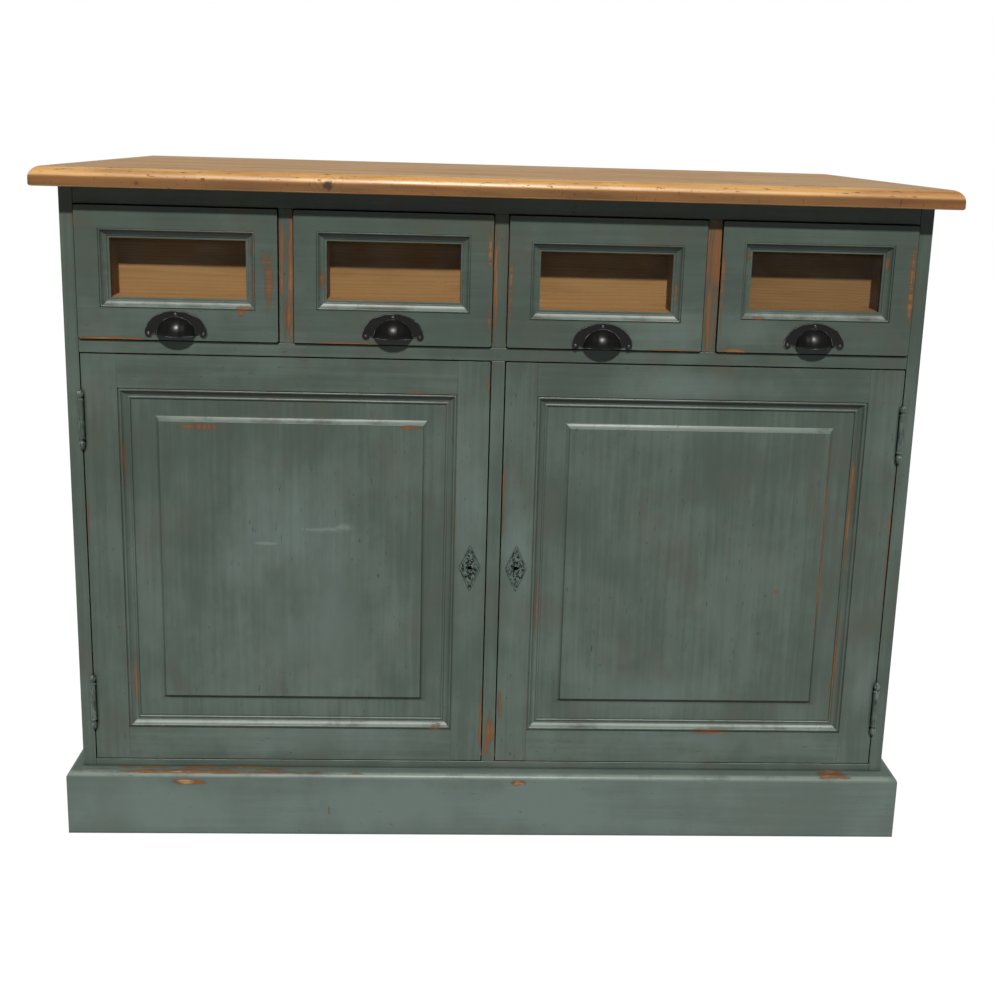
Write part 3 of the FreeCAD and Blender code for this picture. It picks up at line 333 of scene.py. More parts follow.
def pine(tree, place, run, early, late, board_axis, board_width, knots=(), figure=0.55):
    """Colour and height of pine whose grain runs along an axis, glued up from boards side by side."""
    boards = tree.math("DIVIDE", tree.along(board_axis, place), board_width)
    count = tree.math("FLOOR", boards)
    jump = tree.add("CombineXYZ", {index: tree.times(count, step) for index, step in enumerate(BOARD_JUMP)})
    own = tree.vector("ADD", place, jump)
    slow = tree.noise(own, [c / 16 for c in STREAKS[run]], detail=2.0)
    warp = tree.times(tree.minus(slow, 0.5), 26.0)
    reach = tree.length(tree.vector("MULTIPLY", own, ACROSS[run]))
    rings = tree.plus(tree.times(reach, WOOD_RINGS_PER_METRE), warp)
    rings, hearts = grown_round(tree, place, rings, knots)
    saw = tree.math("FRACT", rings)
    latewood = tree.times(tree.between(saw, 0.35, 0.9), tree.between(saw, 1.0, 0.9))
    fibre = tree.noise(own, FIBRES[run], detail=4.0, roughness=0.7)
    share = tree.plus(tree.times(latewood, figure),
                      tree.times(tree.between(fibre, 0.3, 0.8), 0.3), clamp=True)
    colour = tree.mix(share, early, late)
    tone = tree.noise(own, CLOUDS[run], detail=4.0, roughness=0.6)
    colour = tree.mix(tree.between(tone, 0.42, 0.72), colour, tree.mix(0.7, colour, late))
    from_middle = tree.math("ABSOLUTE", tree.minus(tree.math("FRACT", boards), 0.5))
    seam = tree.between(from_middle, 0.5 - SEAM_WIDTH / board_width, 0.5)
    colour = tree.mix(tree.times(seam, 0.75), colour, KNOT)
    if knots:
        colour = tree.mix(hearts, colour, KNOT)
    height = tree.minus(tree.times(fibre, -0.5), seam)
    return colour, height


def bare_pine(name, run, early, late, board_axis, board_width, knots=(), figure=0.35):
    """Pine without a finish, darkened by age."""
    tree = Tree(name)
    colour, height = pine(tree, tree.place(), run, early, late, board_axis, board_width, knots, figure)
    return tree.finish(Base_Color=colour, Roughness=0.75, Specular_IOR_Level=0.15,
                       Normal=tree.bump(height, GRAIN_DEPTH))


def waxed_pine(name, knots):
    """The worktop: boards along its length, under an old wax finish whose top face is paler, as wear and a
    painted sheen.
    """
    tree = Tree(name)
    place = tree.place()
    low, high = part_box("worktop")
    colour, height = pine(tree, place, "X", WAXED_EARLY, WAXED_LATE, "Y", (high.y - low.y) / WORKTOP_BOARDS,
                          knots, 0.30)
    smoke = tree.noise(place, (4, 62, 62), detail=8.0, roughness=0.62)
    colour = tree.mix(tree.times(tree.between(smoke, 0.42, 0.74), 0.70), colour, WAXED_LATE)
    # Painted sheen with wear: the top face of the worktop is paler.
    on_face = tree.between(tree.along("Z", place), high.z - BLEACHED_SHEEN_DEPTH, high.z)
    bleached_sheen = tree.times(on_face, tree.between(smoke, 0.78, 0.36))
    colour = tree.mix(tree.times(bleached_sheen, 0.80), colour, WAXED_WORN_SHEEN)
    flecks = tree.noise(place, (70, 300, 300), detail=4.0, roughness=0.6)
    cracks = tree.noise(place, (420, 420, 60), detail=4.0, roughness=0.6)
    fleck = tree.larger(tree.between(flecks, 0.63, 0.71), tree.between(cracks, 0.66, 0.72))
    colour = tree.mix(tree.times(fleck, 0.8), colour, KNOT)
    polish = tree.noise(place, (6, 14, 14), detail=4.0)
    rough = tree.spread(polish, 0.3, 0.75, 0.36, 0.52)
    height = tree.minus(height, tree.times(fleck, 2.0))
    return tree.finish(Base_Color=colour, Roughness=rough, Coat_Weight=0.12, Coat_Roughness=0.30,
                       Normal=tree.bump(height, WAXED_GRAIN_DEPTH))


def paint_coat(tree, tone, aged, lift):
    """Paint in patches and brush strokes, browned by age, and paler by a share that is added."""
    light = tree.plus(tree.times(tree.between(tone, 0.45, 0.68), 0.45), lift)
    colour = tree.mix(tree.between(tone, 0.34, 0.56), PAINT_DEEP, PAINT)
    colour = tree.mix(tree.times(tree.between(aged, 0.50, 0.66), 0.75), colour, PAINT_BROWN)
    return tree.mix(tree.times(light, 1.0, clamp=True), colour, PAINT_PALE)


def dust_highlight_and_shade(tree, colour, aged):
    """Paler paint on slopes that face up, as dust and a painted highlight, and painted shade on what faces
    down.
    """
    tilt = tree.along("Z", tree.normal())
    # Painted highlight with dust: slopes that face up are paler.
    dust_highlight = tree.times(tree.between(tilt, 0.12, 0.50), tree.between(tilt, 0.98, 0.85))
    dust_highlight = tree.times(dust_highlight, tree.between(aged, 0.66, 0.46))
    colour = tree.mix(tree.times(dust_highlight, 0.75), colour, PAINT_DUST_HIGHLIGHT)
    # Painted shade: what faces down is darkened.
    painted_shade = tree.between(tilt, -0.02, -0.40)
    return tree.mix(tree.times(painted_shade, 0.65), colour, DIRT_AND_SHADE)


def rubbed_through(tree, place, box, marks, wear, streak):
    """A mask of the bare wood, on the arrises and at the marks."""
    where = tree.noise(place, (9, 9, 9), detail=5.0, roughness=0.7)
    worn = tree.plus(tree.times(edges(tree, ARRIS_RADIUS), wear), where)
    bare = tree.between(worn, 0.97, 1.20)
    if marks:
        bare = tree.larger(bare, spots(tree, place, box, marks))
    return tree.times(bare, tree.between(streak, 0.20, 0.55))


def worn_to_wood(tree, colour, bare, streak, aged, core_share):
    """The paint's colour with the wood that shows: dark at the rim of a bare patch, pale at its core."""
    wood = tree.mix(tree.between(streak, 0.35, 0.60), RUBBED_RIM, RUBBED_WOOD)
    core = tree.times(tree.between(bare, 0.75, 1.0), tree.between(aged, 0.50, 0.60))
    wood = tree.mix(tree.times(core, core_share), wood, RUBBED_CORE)
    colour = tree.mix(tree.times(tree.between(bare, 0.02, 0.40), 0.8), colour, RUBBED_RIM)
    return tree.mix(tree.between(bare, 0.15, 0.85), colour, wood)


def unpainted(tree, place, brush, inside_from):
    """A mask of what lies behind the paint. The outer faces of the two ends are painted to the back."""
    depth = tree.plus(tree.along("Y", place), tree.times(brush, PAINT_CREEP))
    raw = tree.between(depth, inside_from, inside_from + PAINT_FRINGE)
    sideways = tree.math("ABSOLUTE", tree.along("X", place))
    return tree.times(raw, tree.math("LESS_THAN", sideways, end_x - OUTER_SKIN))


def painted_pine(name, run, box, rubbed, pale, scratched, inside_from=None, wear=0.5, lift=0.0,
                 core_share=0.2):
    """Brushed eggshell paint over pine, rubbed through on the arrises and at the marks given.

    The paint ends where the piece goes further back than inside_from, and bare pine follows.
    """
    tree = Tree(name)
    place = tree.place()
    cloud = tree.noise(place, (9, 9, 7), detail=5.0, roughness=0.6)
    brush = tree.noise(place, STREAKS[run], detail=5.0, roughness=0.6)
    aged = tree.noise(place, (14, 14, 10), detail=5.0, roughness=0.65)
    tone = tree.plus(tree.times(cloud, 0.65), tree.times(brush, 0.35))
    if pale:
        lift = tree.plus(tree.times(clouds(tree, place, box, pale), 0.55), lift)
    # Slopes that face up get a painted highlight with dust; what faces down gets painted shade.
    colour = dust_highlight_and_shade(tree, paint_coat(tree, tone, aged, lift), aged)

    nicks = tree.between(tree.noise(place, NICKS[run], detail=4.0, roughness=0.6), 0.66, 0.72)
    nicks = tree.times(nicks, tree.between(cloud, 0.40, 0.56))
    colour = tree.mix(tree.times(nicks, 0.85), colour, NICK)
    if scratched:
        scratches = tree.times(spots(tree, place, box, scratched), 0.45)
        colour = tree.mix(scratches, colour, PAINT_SCRATCH)
    # Painted shade with dirt: darker in creases and corners, where the shape closes in.
    corners = tree.between(tree.openness(PAINT_DIRT_AND_SHADE_REACH), 0.85, 0.30)
    colour = tree.mix(corners, colour, tree.mix(0.85, colour, DIRT_AND_SHADE))

    streak = tree.noise(place, STREAKS[run], detail=6.0, roughness=0.75)
    bare = rubbed_through(tree, place, box, rubbed, wear, streak)
    colour = worn_to_wood(tree, colour, bare, streak, aged, core_share)
    grain = tree.noise(place, FIBRES[run], detail=3.0)
    height = tree.plus(tree.times(brush, 0.6), tree.times(grain, 0.15))
    height = tree.minus(height, tree.plus(bare, nicks))
    if inside_from is not None:
        plain, grain_height = pine(tree, place, run, INNER_EARLY, INNER_LATE, "X", INNER_BOARD_WIDTH)
        raw = unpainted(tree, place, brush, inside_from)
        colour = tree.mix(raw, colour, plain)
        height = tree.times(height, tree.minus(1.0, raw))
        height = tree.plus(height, tree.times(grain_height, raw))
    rough = tree.plus(tree.spread(tone, 0.3, 0.7, 0.46, 0.36), tree.times(bare, 0.25))
    return tree.finish(Base_Color=colour, Roughness=rough, Specular_IOR_Level=0.35,
                       Normal=tree.bump(height, BRUSH_DEPTH))


def iron(name, base, worn_to, metallic, low_rough, high_rough):
    """Cast iron or steel, a little brighter on its edges."""
    tree = Tree(name)
    place = tree.place()
    patchy = tree.noise(place, (90, 90, 90), detail=4.0)
    pitted = tree.noise(place, (700, 700, 700), detail=2.0)
    rub = tree.times(edges(tree, METAL_ARRIS_RADIUS), tree.between(patchy, 0.4, 0.65))
    colour = tree.mix(rub, base, worn_to)
    rough = tree.spread(patchy, 0.3, 0.7, low_rough, high_rough)
    return tree.finish(Base_Color=colour, Roughness=rough, Metallic=metallic, Specular_IOR_Level=0.25,
                       Normal=tree.bump(pitted, CASTING_DEPTH))


def chipped_iron(name):
    """Iron under brushed paint that has run into the joints and chipped off in upright streaks; its joints
    are darker, as dirt and painted shade.
    """
    tree = Tree(name)
    place = tree.place()
    cloud = tree.noise(place, (60, 60, 40), detail=4.0)
    colour = tree.mix(tree.between(cloud, 0.35, 0.70), PAINT_DEEP, PAINT_PALE)
    chips = tree.noise(place, (520, 520, 90), detail=4.0, roughness=0.6)
    chip = tree.between(chips, 0.53, 0.60)
    colour = tree.mix(tree.times(chip, 0.8), colour, PIT)
    # Painted shade with dirt in the hinge's joints and hollows.
    colour = tree.mix(tree.between(tree.openness(HINGE_DIRT_AND_SHADE_REACH), 0.80, 0.30), colour, DIRT_AND_SHADE)
    height = tree.minus(cloud, chip)
    return tree.finish(Base_Color=colour, Roughness=0.40, Specular_IOR_Level=0.4,
                       Normal=tree.bump(height, CHIP_DEPTH))


def glass(name):
    """A thin pane: nearly clear, with a faint film of dust."""
    tree = Tree(name)
    dust = tree.noise(tree.place(), (30, 30, 30), detail=5.0)
    cover = tree.spread(dust, 0.35, 0.8, 0.006, 0.024)
    return tree.finish(Base_Color=DUST, Roughness=0.06, Alpha=cover)


def crusted_plate(side):
    """A cast plate under many coats of paint, pitted round its keyhole, and darker where its relief closes
    in, as dirt and painted shade.
    """
    tree = Tree("old_plate_" + side)
    place = tree.place()
    low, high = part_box(side + "_door_escutcheon")
    middle = (low + high) / 2
    out = tree.vector("MULTIPLY", tree.vector("SUBTRACT", place, middle),
                      (1 / KEYHOLE_WEAR_HALF_WIDTH, 0, 1 / KEYHOLE_WEAR_HALF_HEIGHT))
    near = tree.between(tree.length(out), 1.0, 0.25)
    lumps = tree.noise(place, (300, 300, 200), detail=4.0, roughness=0.65)
    worn = tree.minus(lumps, tree.times(near, 0.12))
    pits = tree.between(worn, 0.43, 0.34)
    colour = tree.mix(tree.between(lumps, 0.40, 0.62), PAINT_DEEP, PAINT_PALE)
    colour = tree.mix(pits, colour, PIT)
    # Painted shade with dirt where the plate's relief closes in.
    colour = tree.mix(tree.between(tree.openness(PLATE_DIRT_AND_SHADE_REACH), 0.80, 0.35), colour, DIRT_AND_SHADE)
    height = tree.minus(lumps, tree.times(pits, 0.6))
    return tree.finish(Base_Color=colour, Roughness=0.45, Specular_IOR_Level=0.2,
                       Normal=tree.bump(height, CRUST_DEPTH))


# Where the paint is rubbed off, pale or scratched. A mark is its place across and up the piece, as shares,
# and its width and height in mm.
RUBBED = {
    "drawer_1_front": [(0.961, 0.476, 10, 78), (0.18, 0.005, 95, 5), (0.815, 0.225, 12, 10),
                       (0.93, 0.62, 5, 22)],
    "drawer_2_front": [(0.30, 0.004, 120, 3), (0.985, 0.75, 5, 60), (0.985, 0.25, 4, 50)],
    "drawer_3_front": [(0.012, 0.45, 4, 90), (0.85, 0.004, 60, 3)],
    "drawer_4_front": [(0.983, 0.533, 8, 113), (0.10, 0.01, 40, 5), (0.012, 0.55, 4, 110)],
    "drawer_1_window_moulding": [(0.92, 0.01, 22, 9), (0.985, 0.35, 5, 40), (0.97, 0.75, 4, 18)],
    "drawer_2_window_moulding": [(0.03, 0.4, 4, 22)],
    "drawer_3_window_moulding": [(0.965, 0.4, 4, 30)],
    "drawer_4_window_moulding": [(0.036, 0.82, 5, 13), (0.12, 0.02, 14, 4), (0.965, 0.78, 6, 26)],
    "drawer_dividers": [(0.018, 0.237, 12, 50), (0.026, 0.55, 7, 170), (0.007, 0.62, 5, 120),
                        (0.4896, 0.485, 6, 158), (0.986, 0.76, 46, 100), (0.979, 0.27, 10, 110),
                        (0.994, 0.25, 5, 90)],
    "left_door_panel": [(0.26, 0.884, 70, 8), (0.85, 0.892, 30, 5), (0.12, 0.14, 5, 3)],
    "right_door_panel": [(0.886, 0.484, 4, 330), (0.209, 0.546, 4, 2), (0.541, 0.326, 4, 3),
                         (0.756, 0.439, 6, 5), (0.404, 0.077, 6, 2)],
    "left_door_rails": [(0.868, 0.923, 36, 5)],
    "right_door_rails": [(0.60, 0.078, 60, 3)],
    "left_door_moulding": [(0.95, 0.005, 16, 9), (0.01, 0.80, 5, 60), (0.022, 0.15, 4, 80)],
    "right_door_moulding": [(0.975, 0.7, 5, 170), (0.97, 0.25, 5, 150), (0.02, 0.4, 3, 90),
                            (0.6, 0.006, 50, 4)],
    "left_door_stiles": [(0.998, 0.945, 4, 30), (0.998, 0.095, 5, 84), (0.07, 0.34, 3, 5),
                         (0.002, 0.6, 3, 90)],
    "right_door_stiles": [(0.008, 0.154, 6, 40), (0.002, 0.65, 3, 120), (0.998, 0.55, 3, 160)],
    "plinth_front": [(0.145, 0.86, 44, 10), (0.5365, 0.86, 22, 9), (0.166, 0.985, 330, 3),
                     (0.923, 0.985, 46, 5), (0.31, 0.40, 2, 12)],
    "centre_partition": [(0.5, 0.08, 14, 60)],
}
PALE = {
    "left_door_panel": [(0.50, 0.57, 190, 210), (0.55, 0.28, 240, 190)],
    "right_door_panel": [(0.40, 0.12, 200, 90)],
    "left_door_stiles": [(0.955, 0.58, 60, 260)],
    "right_door_stiles": [(0.05, 0.55, 50, 240), (0.96, 0.2, 40, 120)],
    "left_door_rails": [(0.55, 0.06, 360, 60)],
    "right_door_rails": [(0.5, 0.06, 330, 60), (0.5, 0.95, 260, 40)],
    "drawer_3_front": [(0.75, 0.14, 130, 60)],
    "drawer_4_front": [(0.15, 0.15, 120, 60)],
    "plinth_front": [(0.12, 0.45, 200, 70), (0.38, 0.5, 260, 80), (0.55, 0.5, 200, 70)],
}
SCRATCHED = {
    "left_door_panel": [(0.585, 0.602, 60, 7), (0.43, 0.56, 30, 5), (0.66, 0.61, 24, 9)],
}

# Each dark knot of the worktop: along the top, back from the front edge, down from the face, and its radius
KNOTS_MM = [
    (-222, 1, 15, 8.0),
    (-461, 0, 18, 3.5),
    (-378, 1, 12, 3.0),
    (-150, 95, 0, 5.0),
    (180, 210, 0, 6.0),
    (430, 120, 0, 4.5),
    (-420, 330, 0, 7.0),
    (90, 460, 0, 5.5),
]


def knot_places():
    """The knots of the worktop, as points and radii in metres."""
    return [(Vector((x * MM, top_low.y + back * MM, top_high.z - down * MM)), radius * MM)
            for x, back, down, radius in KNOTS_MM]


def paint_for(node, run, **options):
    """The paint of one piece, with the marks that are listed for it."""
    return painted_pine("paint_" + node, run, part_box(node), RUBBED.get(node, ()), PALE.get(node, ()),
                        SCRATCHED.get(node, ()), **options)


behind_front = front_y + FRAME_PAINT_REACH
behind_drawer_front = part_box("drawer_1_front")[1].y - DRAWER_BACK_MARGIN
PAINTED = {
    "side_panel_left": ("Z", {"inside_from": behind_front, "wear": 0.6}),
    "side_panel_right": ("Z", {"inside_from": behind_front, "wear": 0.6}),
    "bottom_rail": ("X", {"inside_from": behind_front}),
    "mid_rail": ("X", {"inside_from": behind_front}),
    "top_rail": ("X", {"inside_from": behind_front}),
    "centre_partition": ("Z", {"inside_from": behind_front}),
    "drawer_dividers": ("Z", {"inside_from": behind_front, "wear": 0.75}),
    "plinth_front": ("X", {"wear": 0.45, "lift": 0.50, "core_share": 0.9}),
    "plinth_left": ("Y", {"wear": 0.5, "lift": 0.50}),
    "plinth_right": ("Y", {"wear": 0.5, "lift": 0.50}),
}
for side in SIDES:
    PAINTED[side + "_door_stiles"] = ("Z", {"inside_from": behind_front})
    PAINTED[side + "_door_rails"] = ("X", {"inside_from": behind_front})
    PAINTED[side + "_door_panel"] = ("Z", {"inside_from": front_y + PANEL_PAINT_REACH, "wear": 0.4})
    PAINTED[side + "_door_moulding"] = ("Z", {"wear": 0.5})
for number in DRAWERS:
    PAINTED["drawer_%d_front" % number] = ("X", {"inside_from": behind_drawer_front, "lift": -0.12})
    PAINTED["drawer_%d_window_moulding" % number] = ("X", {"wear": 0.5})

dark_iron = iron("cast_iron", IRON, STEEL, 0.3, 0.26, 0.38)
painted_iron = chipped_iron("painted_iron")
old_plate = {side: crusted_plate(side) for side in SIDES}
steel = iron("steel", STEEL, STEEL, 0.9, 0.35, 0.5)
inner_pine = bare_pine("inner_pine_across", "X", INNER_EARLY, INNER_LATE, "Y", SHELF_BOARD_WIDTH)
inner_pine_deep = bare_pine("inner_pine_deep", "Y", INNER_EARLY, INNER_LATE, "X", ONE_BOARD)
back_pine = bare_pine("back_pine", "Z", BACK_EARLY, BACK_LATE, "X", BACK_BOARD_WIDTH)
pane = glass("window_pane")
waxed = waxed_pine("waxed_worktop", knot_places())

# The boards behind the glass: how light each is, and its knots, across and up as shares with a radius in mm
SHOWN = {
    1: (1.0, [(0.30, 0.15, 3.0)]),
    2: (0.97, [(0.80, 0.30, 4.5), (0.25, 0.62, 3.0)]),
    3: (0.98, [(0.62, 0.70, 3.5)]),
    4: (0.70, [(0.83, 0.20, 5.0), (0.28, 0.75, 3.5)]),
}


def shown_board(number):
    """The pine behind the glass of one drawer."""
    shade, knots = SHOWN[number]
    low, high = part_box("drawer_%d_glass" % number)
    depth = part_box("drawer_%d_display_case" % number)[1].y
    width, height = high.x - low.x, high.z - low.z
    places = [(Vector((low.x + across * width, depth, low.z + up * height)), radius * MM)
              for across, up, radius in knots]
    early = [shade * value for value in SHOWN_EARLY[:3]] + [1]
    late = [shade * value for value in SHOWN_LATE[:3]] + [1]
    return bare_pine("shown_pine_%d" % number, "X", early, late, "Z", ONE_BOARD, places, 0.25)


FINISHES = {
    "worktop": waxed,
    "floor_board": inner_pine,
    "deck_board": inner_pine,
    "back_rails": inner_pine,
    "back_panel": back_pine,
    "drawer_stops": inner_pine,
    "cupboard_shelves": inner_pine,
    "shelf_bearers": inner_pine_deep,
    "hinge_frame_leaves": painted_iron,
    "left_door_hinge_leaves": painted_iron,
    "right_door_hinge_leaves": painted_iron,
    "left_door_escutcheon": old_plate["left"],
    "right_door_escutcheon": old_plate["right"],
    "left_lock_case": steel,
    "right_lock_case": steel,
    "left_lock_bolt": steel,
    "right_lock_bolt": steel,
}
for number in DRAWERS:
    FINISHES["drawer_%d_glass" % number] = pane
    FINISHES["drawer_%d_display_case" % number] = shown_board(number)
    FINISHES["drawer_%d_box" % number] = inner_pine_deep
    FINISHES["drawer_%d_pull" % number] = dark_iron
for node, (run, options) in PAINTED.items():
    FINISHES[node] = paint_for(node, run, **options)


def dress(node, material):
    """Give a piece from model.glb one material in place of its own."""
    piece = nodes[node]
    piece.data.materials.clear()
    piece.data.materials.append(material)


# Metal faces that turn by less than the crease angle are shaded as one. Wooden arrises that turn by more
# than theirs are rounded a little, the fine ones less than the others.
CREASE_DEGREES = 35.0
ARRIS_DEGREES = 30.0
WELD_DISTANCE = 0.01 * MM
FINE_ARRIS = 0.35 * MM
ARRIS = 0.9 * MM
METAL = ("hinge", "lock_", "pull", "glass", "escutcheon")
FINE = ("moulding", "stiles", "rails")


def smoothing():
    """Geometry nodes that shade a piece smoothly, but for its sharp edges."""
    group = bpy.data.node_groups.new("smooth_shading", "GeometryNodeTree")
    for way in ("INPUT", "OUTPUT"):
        group.interface.new_socket("Geometry", in_out=way, socket_type="NodeSocketGeometry")
    add = group.nodes.new
    join = group.links.new
    merge = add("GeometryNodeMergeByDistance")
    merge.inputs["Distance"].default_value = WELD_DISTANCE
    forget = add("GeometryNodeRemoveAttribute")
    forget.inputs["Name"].default_value = "custom_normal"
    smooth = add("GeometryNodeSetShadeSmooth")
    turn = add("GeometryNodeInputMeshEdgeAngle")
    sharp = add("FunctionNodeCompare")
    sharp.inputs[1].default_value = math.radians(CREASE_DEGREES)
    crease = add("GeometryNodeSetShadeSmooth")
    crease.domain = "EDGE"
    crease.inputs["Shade Smooth"].default_value = False
    join(add("NodeGroupInput").outputs[0], merge.inputs["Geometry"])
    join(merge.outputs["Geometry"], forget.inputs["Geometry"])
    join(forget.outputs["Geometry"], smooth.inputs["Geometry"])
    join(smooth.outputs["Geometry"], crease.inputs["Geometry"])
    join(turn.outputs["Unsigned Angle"], sharp.inputs[0])
    join(sharp.outputs["Result"], crease.inputs["Selection"])
    join(crease.outputs["Geometry"], add("NodeGroupOutput").inputs[0])
    return group


def soften(node, radius):
    """Take the machine edge off a wooden piece."""
    piece = nodes[node]
    piece.modifiers.new("Weld", "WELD").merge_threshold = WELD_DISTANCE
    bevel = piece.modifiers.new("Soften", "BEVEL")
    bevel.width = radius
    bevel.segments = 2
    bevel.limit_method = "ANGLE"
    bevel.angle_limit = math.radians(ARRIS_DEGREES)
    bevel.harden_normals = True


for node, material in FINISHES.items():
    dress(node, material)
smooth_shading = smoothing()
for node in FINISHES:
    if any(word in node for word in METAL):
        nodes[node].modifiers.new("Smooth", "NODES").node_group = smooth_shading
    elif node != "worktop":
        soften(node, FINE_ARRIS if any(word in node for word in FINE) else ARRIS)


# Fasteners and hinge finials

def lathe(name, profile, steps=28):
    """Turn a profile of radius and height round the z axis."""
    mesh = bmesh.new()
    rings = []
    for radius, height in profile:
        if radius == 0:
            rings.append([mesh.verts.new((0, 0, height))] * steps)
            continue
        turn = [2 * math.pi * i / steps for i in range(steps)]
        rings.append([mesh.verts.new((radius * math.cos(a), radius * math.sin(a), height)) for a in turn])
    for lower, upper in zip(rings, rings[1:]):
        for i in range(steps):
            j = (i + 1) % steps
            corners = []
            for vertex in (lower[i], lower[j], upper[j], upper[i]):
                if vertex not in corners:
                    corners.append(vertex)
            mesh.faces.new(corners)
    data = bpy.data.meshes.new(name)
    bmesh.ops.recalc_face_normals(mesh, faces=mesh.faces)
    for face in mesh.faces:
        face.smooth = True
    mesh.to_mesh(data)
    mesh.free()
    piece = bpy.data.objects.new(name, data)
    piece.modifiers.new("Smooth", "NODES").node_group = smooth_shading
    bpy.context.scene.collection.objects.link(piece)
    return piece


def cut_slot(piece, width, depth):
    """Sink a screwdriver slot across a lathed head."""
    mesh = bmesh.new()
    mesh.from_mesh(piece.data)
    wall = 0.02 * width
    for offset in (-width / 2, -width / 2 + wall, width / 2 - wall, width / 2):
        everything = mesh.verts[:] + mesh.edges[:] + mesh.faces[:]
        bmesh.ops.bisect_plane(mesh, geom=everything, plane_co=(0, offset, 0), plane_no=(0, 1, 0))
    top = max(vertex.co.z for vertex in mesh.verts)
    for vertex in mesh.verts:
        if abs(vertex.co.y) < width / 2 - 0.5 * wall and vertex.co.z > top - depth:
            vertex.co.z = top - depth
    mesh.to_mesh(piece.data)
    mesh.free()


FRONTWARDS = Matrix.Rotation(math.radians(90), 4, "X")
UPWARDS = Matrix.Identity(4)
DOWNWARDS = Matrix.Rotation(math.radians(180), 4, "X")


def fix_to(piece, body, place, spin, material, facing=FRONTWARDS):
    """Set a turned piece, drawn along +Z, where it belongs."""
    piece.data.transform(Matrix.Translation(place) @ facing @ Matrix.Rotation(spin, 4, "Z"))
    piece.data.materials.append(material)
    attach(piece, body)


DOME_STEPS = 7
SCREW_RADIUS = 2.1 * MM
SCREW_RISE = 1.0 * MM
SCREW_SINK = 0.3 * MM
SLOT_WIDTH = 0.6 * MM
SLOT_DEPTH = 0.6 * MM
# How the screw slots are turned, in radians
FIRST_SCREW_TURN = 0.7
NEXT_SCREW_TURN = 1.9
NAIL_RADIUS = 1.3 * MM
NAIL_RISE = 0.7 * MM
NAIL_SINK = 0.2 * MM
NAIL_INSET = 9 * MM
PULL_PLATE_THICKNESS = 1.8 * MM
ESCUTCHEON_THICKNESS = 1.2 * MM
PULL_EAR_INSET = 4.9 * MM
PULL_TOP_INSET = 3.6 * MM
KNUCKLE_RADIUS = 3.9 * MM
KNUCKLE_LENGTH = 25.0 * MM

# The turned finial on a hinge's end: radius and height in mm. The lower one is longer.
FINIAL_MM = [(0, -0.2), (3.7, -0.2), (4.2, 0.3), (4.4, 1.0), (4.2, 1.7), (3.4, 2.2), (2.6, 2.9), (2.4, 3.8),
             (2.7, 4.6), (3.6, 5.6), (4.2, 7.0), (4.4, 8.4), (4.1, 10.0), (3.4, 11.6), (2.4, 13.2),
             (1.3, 14.4), (0, 15.0)]
FOOT_FINIAL_STRETCH = 1.17


def dome(radius, rise, sink):
    """Profile of a domed head that is sunk a little into what it holds."""
    profile = [(0, -sink), (radius, -sink)]
    for i in range(DOME_STEPS):
        angle = math.pi / 2 * i / DOME_STEPS
        profile.append((radius * math.cos(angle), rise * math.sin(angle)))
    return profile + [(0, rise)]


screw_metal = iron("screw_metal", SCREW_STEEL, STEEL, 0.8, 0.28, 0.4)


def drive_screws(number):
    """The three screws of one pull, each with its slot turned another way."""
    low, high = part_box("drawer_%d_pull" % number)
    middle = (low.x + high.x) / 2
    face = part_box("drawer_%d_front" % number)[0].y - PULL_PLATE_THICKNESS
    heads = [(low.x + PULL_EAR_INSET, low.z + PULL_EAR_INSET),
             (high.x - PULL_EAR_INSET, low.z + PULL_EAR_INSET), (middle, high.z - PULL_TOP_INSET)]
    for index, (x, z) in enumerate(heads):
        screw = lathe("pull_%d_screw_%d" % (number, index + 1), dome(SCREW_RADIUS, SCREW_RISE, SCREW_SINK))
        cut_slot(screw, SLOT_WIDTH, SLOT_DEPTH)
        turn = FIRST_SCREW_TURN + NEXT_SCREW_TURN * index + number
        fix_to(screw, "drawer_%d" % number, Vector((x, face, z)), turn, screw_metal)


def drive_nails(side):
    """The two nails of one door's escutcheon."""
    low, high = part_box(side + "_door_escutcheon")
    middle = (low.x + high.x) / 2
    face = front_y - ESCUTCHEON_THICKNESS
    for index, z in enumerate((low.z + NAIL_INSET, high.z - NAIL_INSET)):
        name = "%s_plate_nail_%d" % (side, index + 1)
        nail = lathe(name, dome(NAIL_RADIUS, NAIL_RISE, NAIL_SINK), steps=16)
        fix_to(nail, side + "_door", Vector((middle, face, z)), 0, old_plate[side])


def crown_hinges(side):
    """The finials at both ends of one door's two hinges. The lower ones belong to the frame's halves."""
    low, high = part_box(side + "_door_hinge_leaves")
    axis_x = (low.x + high.x) / 2
    axis_y = low.y + KNUCKLE_RADIUS
    for index, foot in enumerate((low.z, high.z - 2 * KNUCKLE_LENGTH)):
        ends = (("carcass", foot, DOWNWARDS), (side + "_door", foot + 2 * KNUCKLE_LENGTH, UPWARDS))
        for body, z, facing in ends:
            name = "%s_hinge_%d_finial_%s" % (side, index + 1, "foot" if facing is DOWNWARDS else "head")
            stretch = FOOT_FINIAL_STRETCH if facing is DOWNWARDS else 1.0
            turned = lathe(name, [(radius * MM, height * MM * stretch) for radius, height in FINIAL_MM])
            fix_to(turned, body, Vector((axis_x, axis_y, z)), 0, painted_iron, facing)


for number in DRAWERS:
    drive_screws(number)
for side in SIDES:
    drive_nails(side)
for side in SIDES:
    crown_hinges(side)


# Floor, light and camera

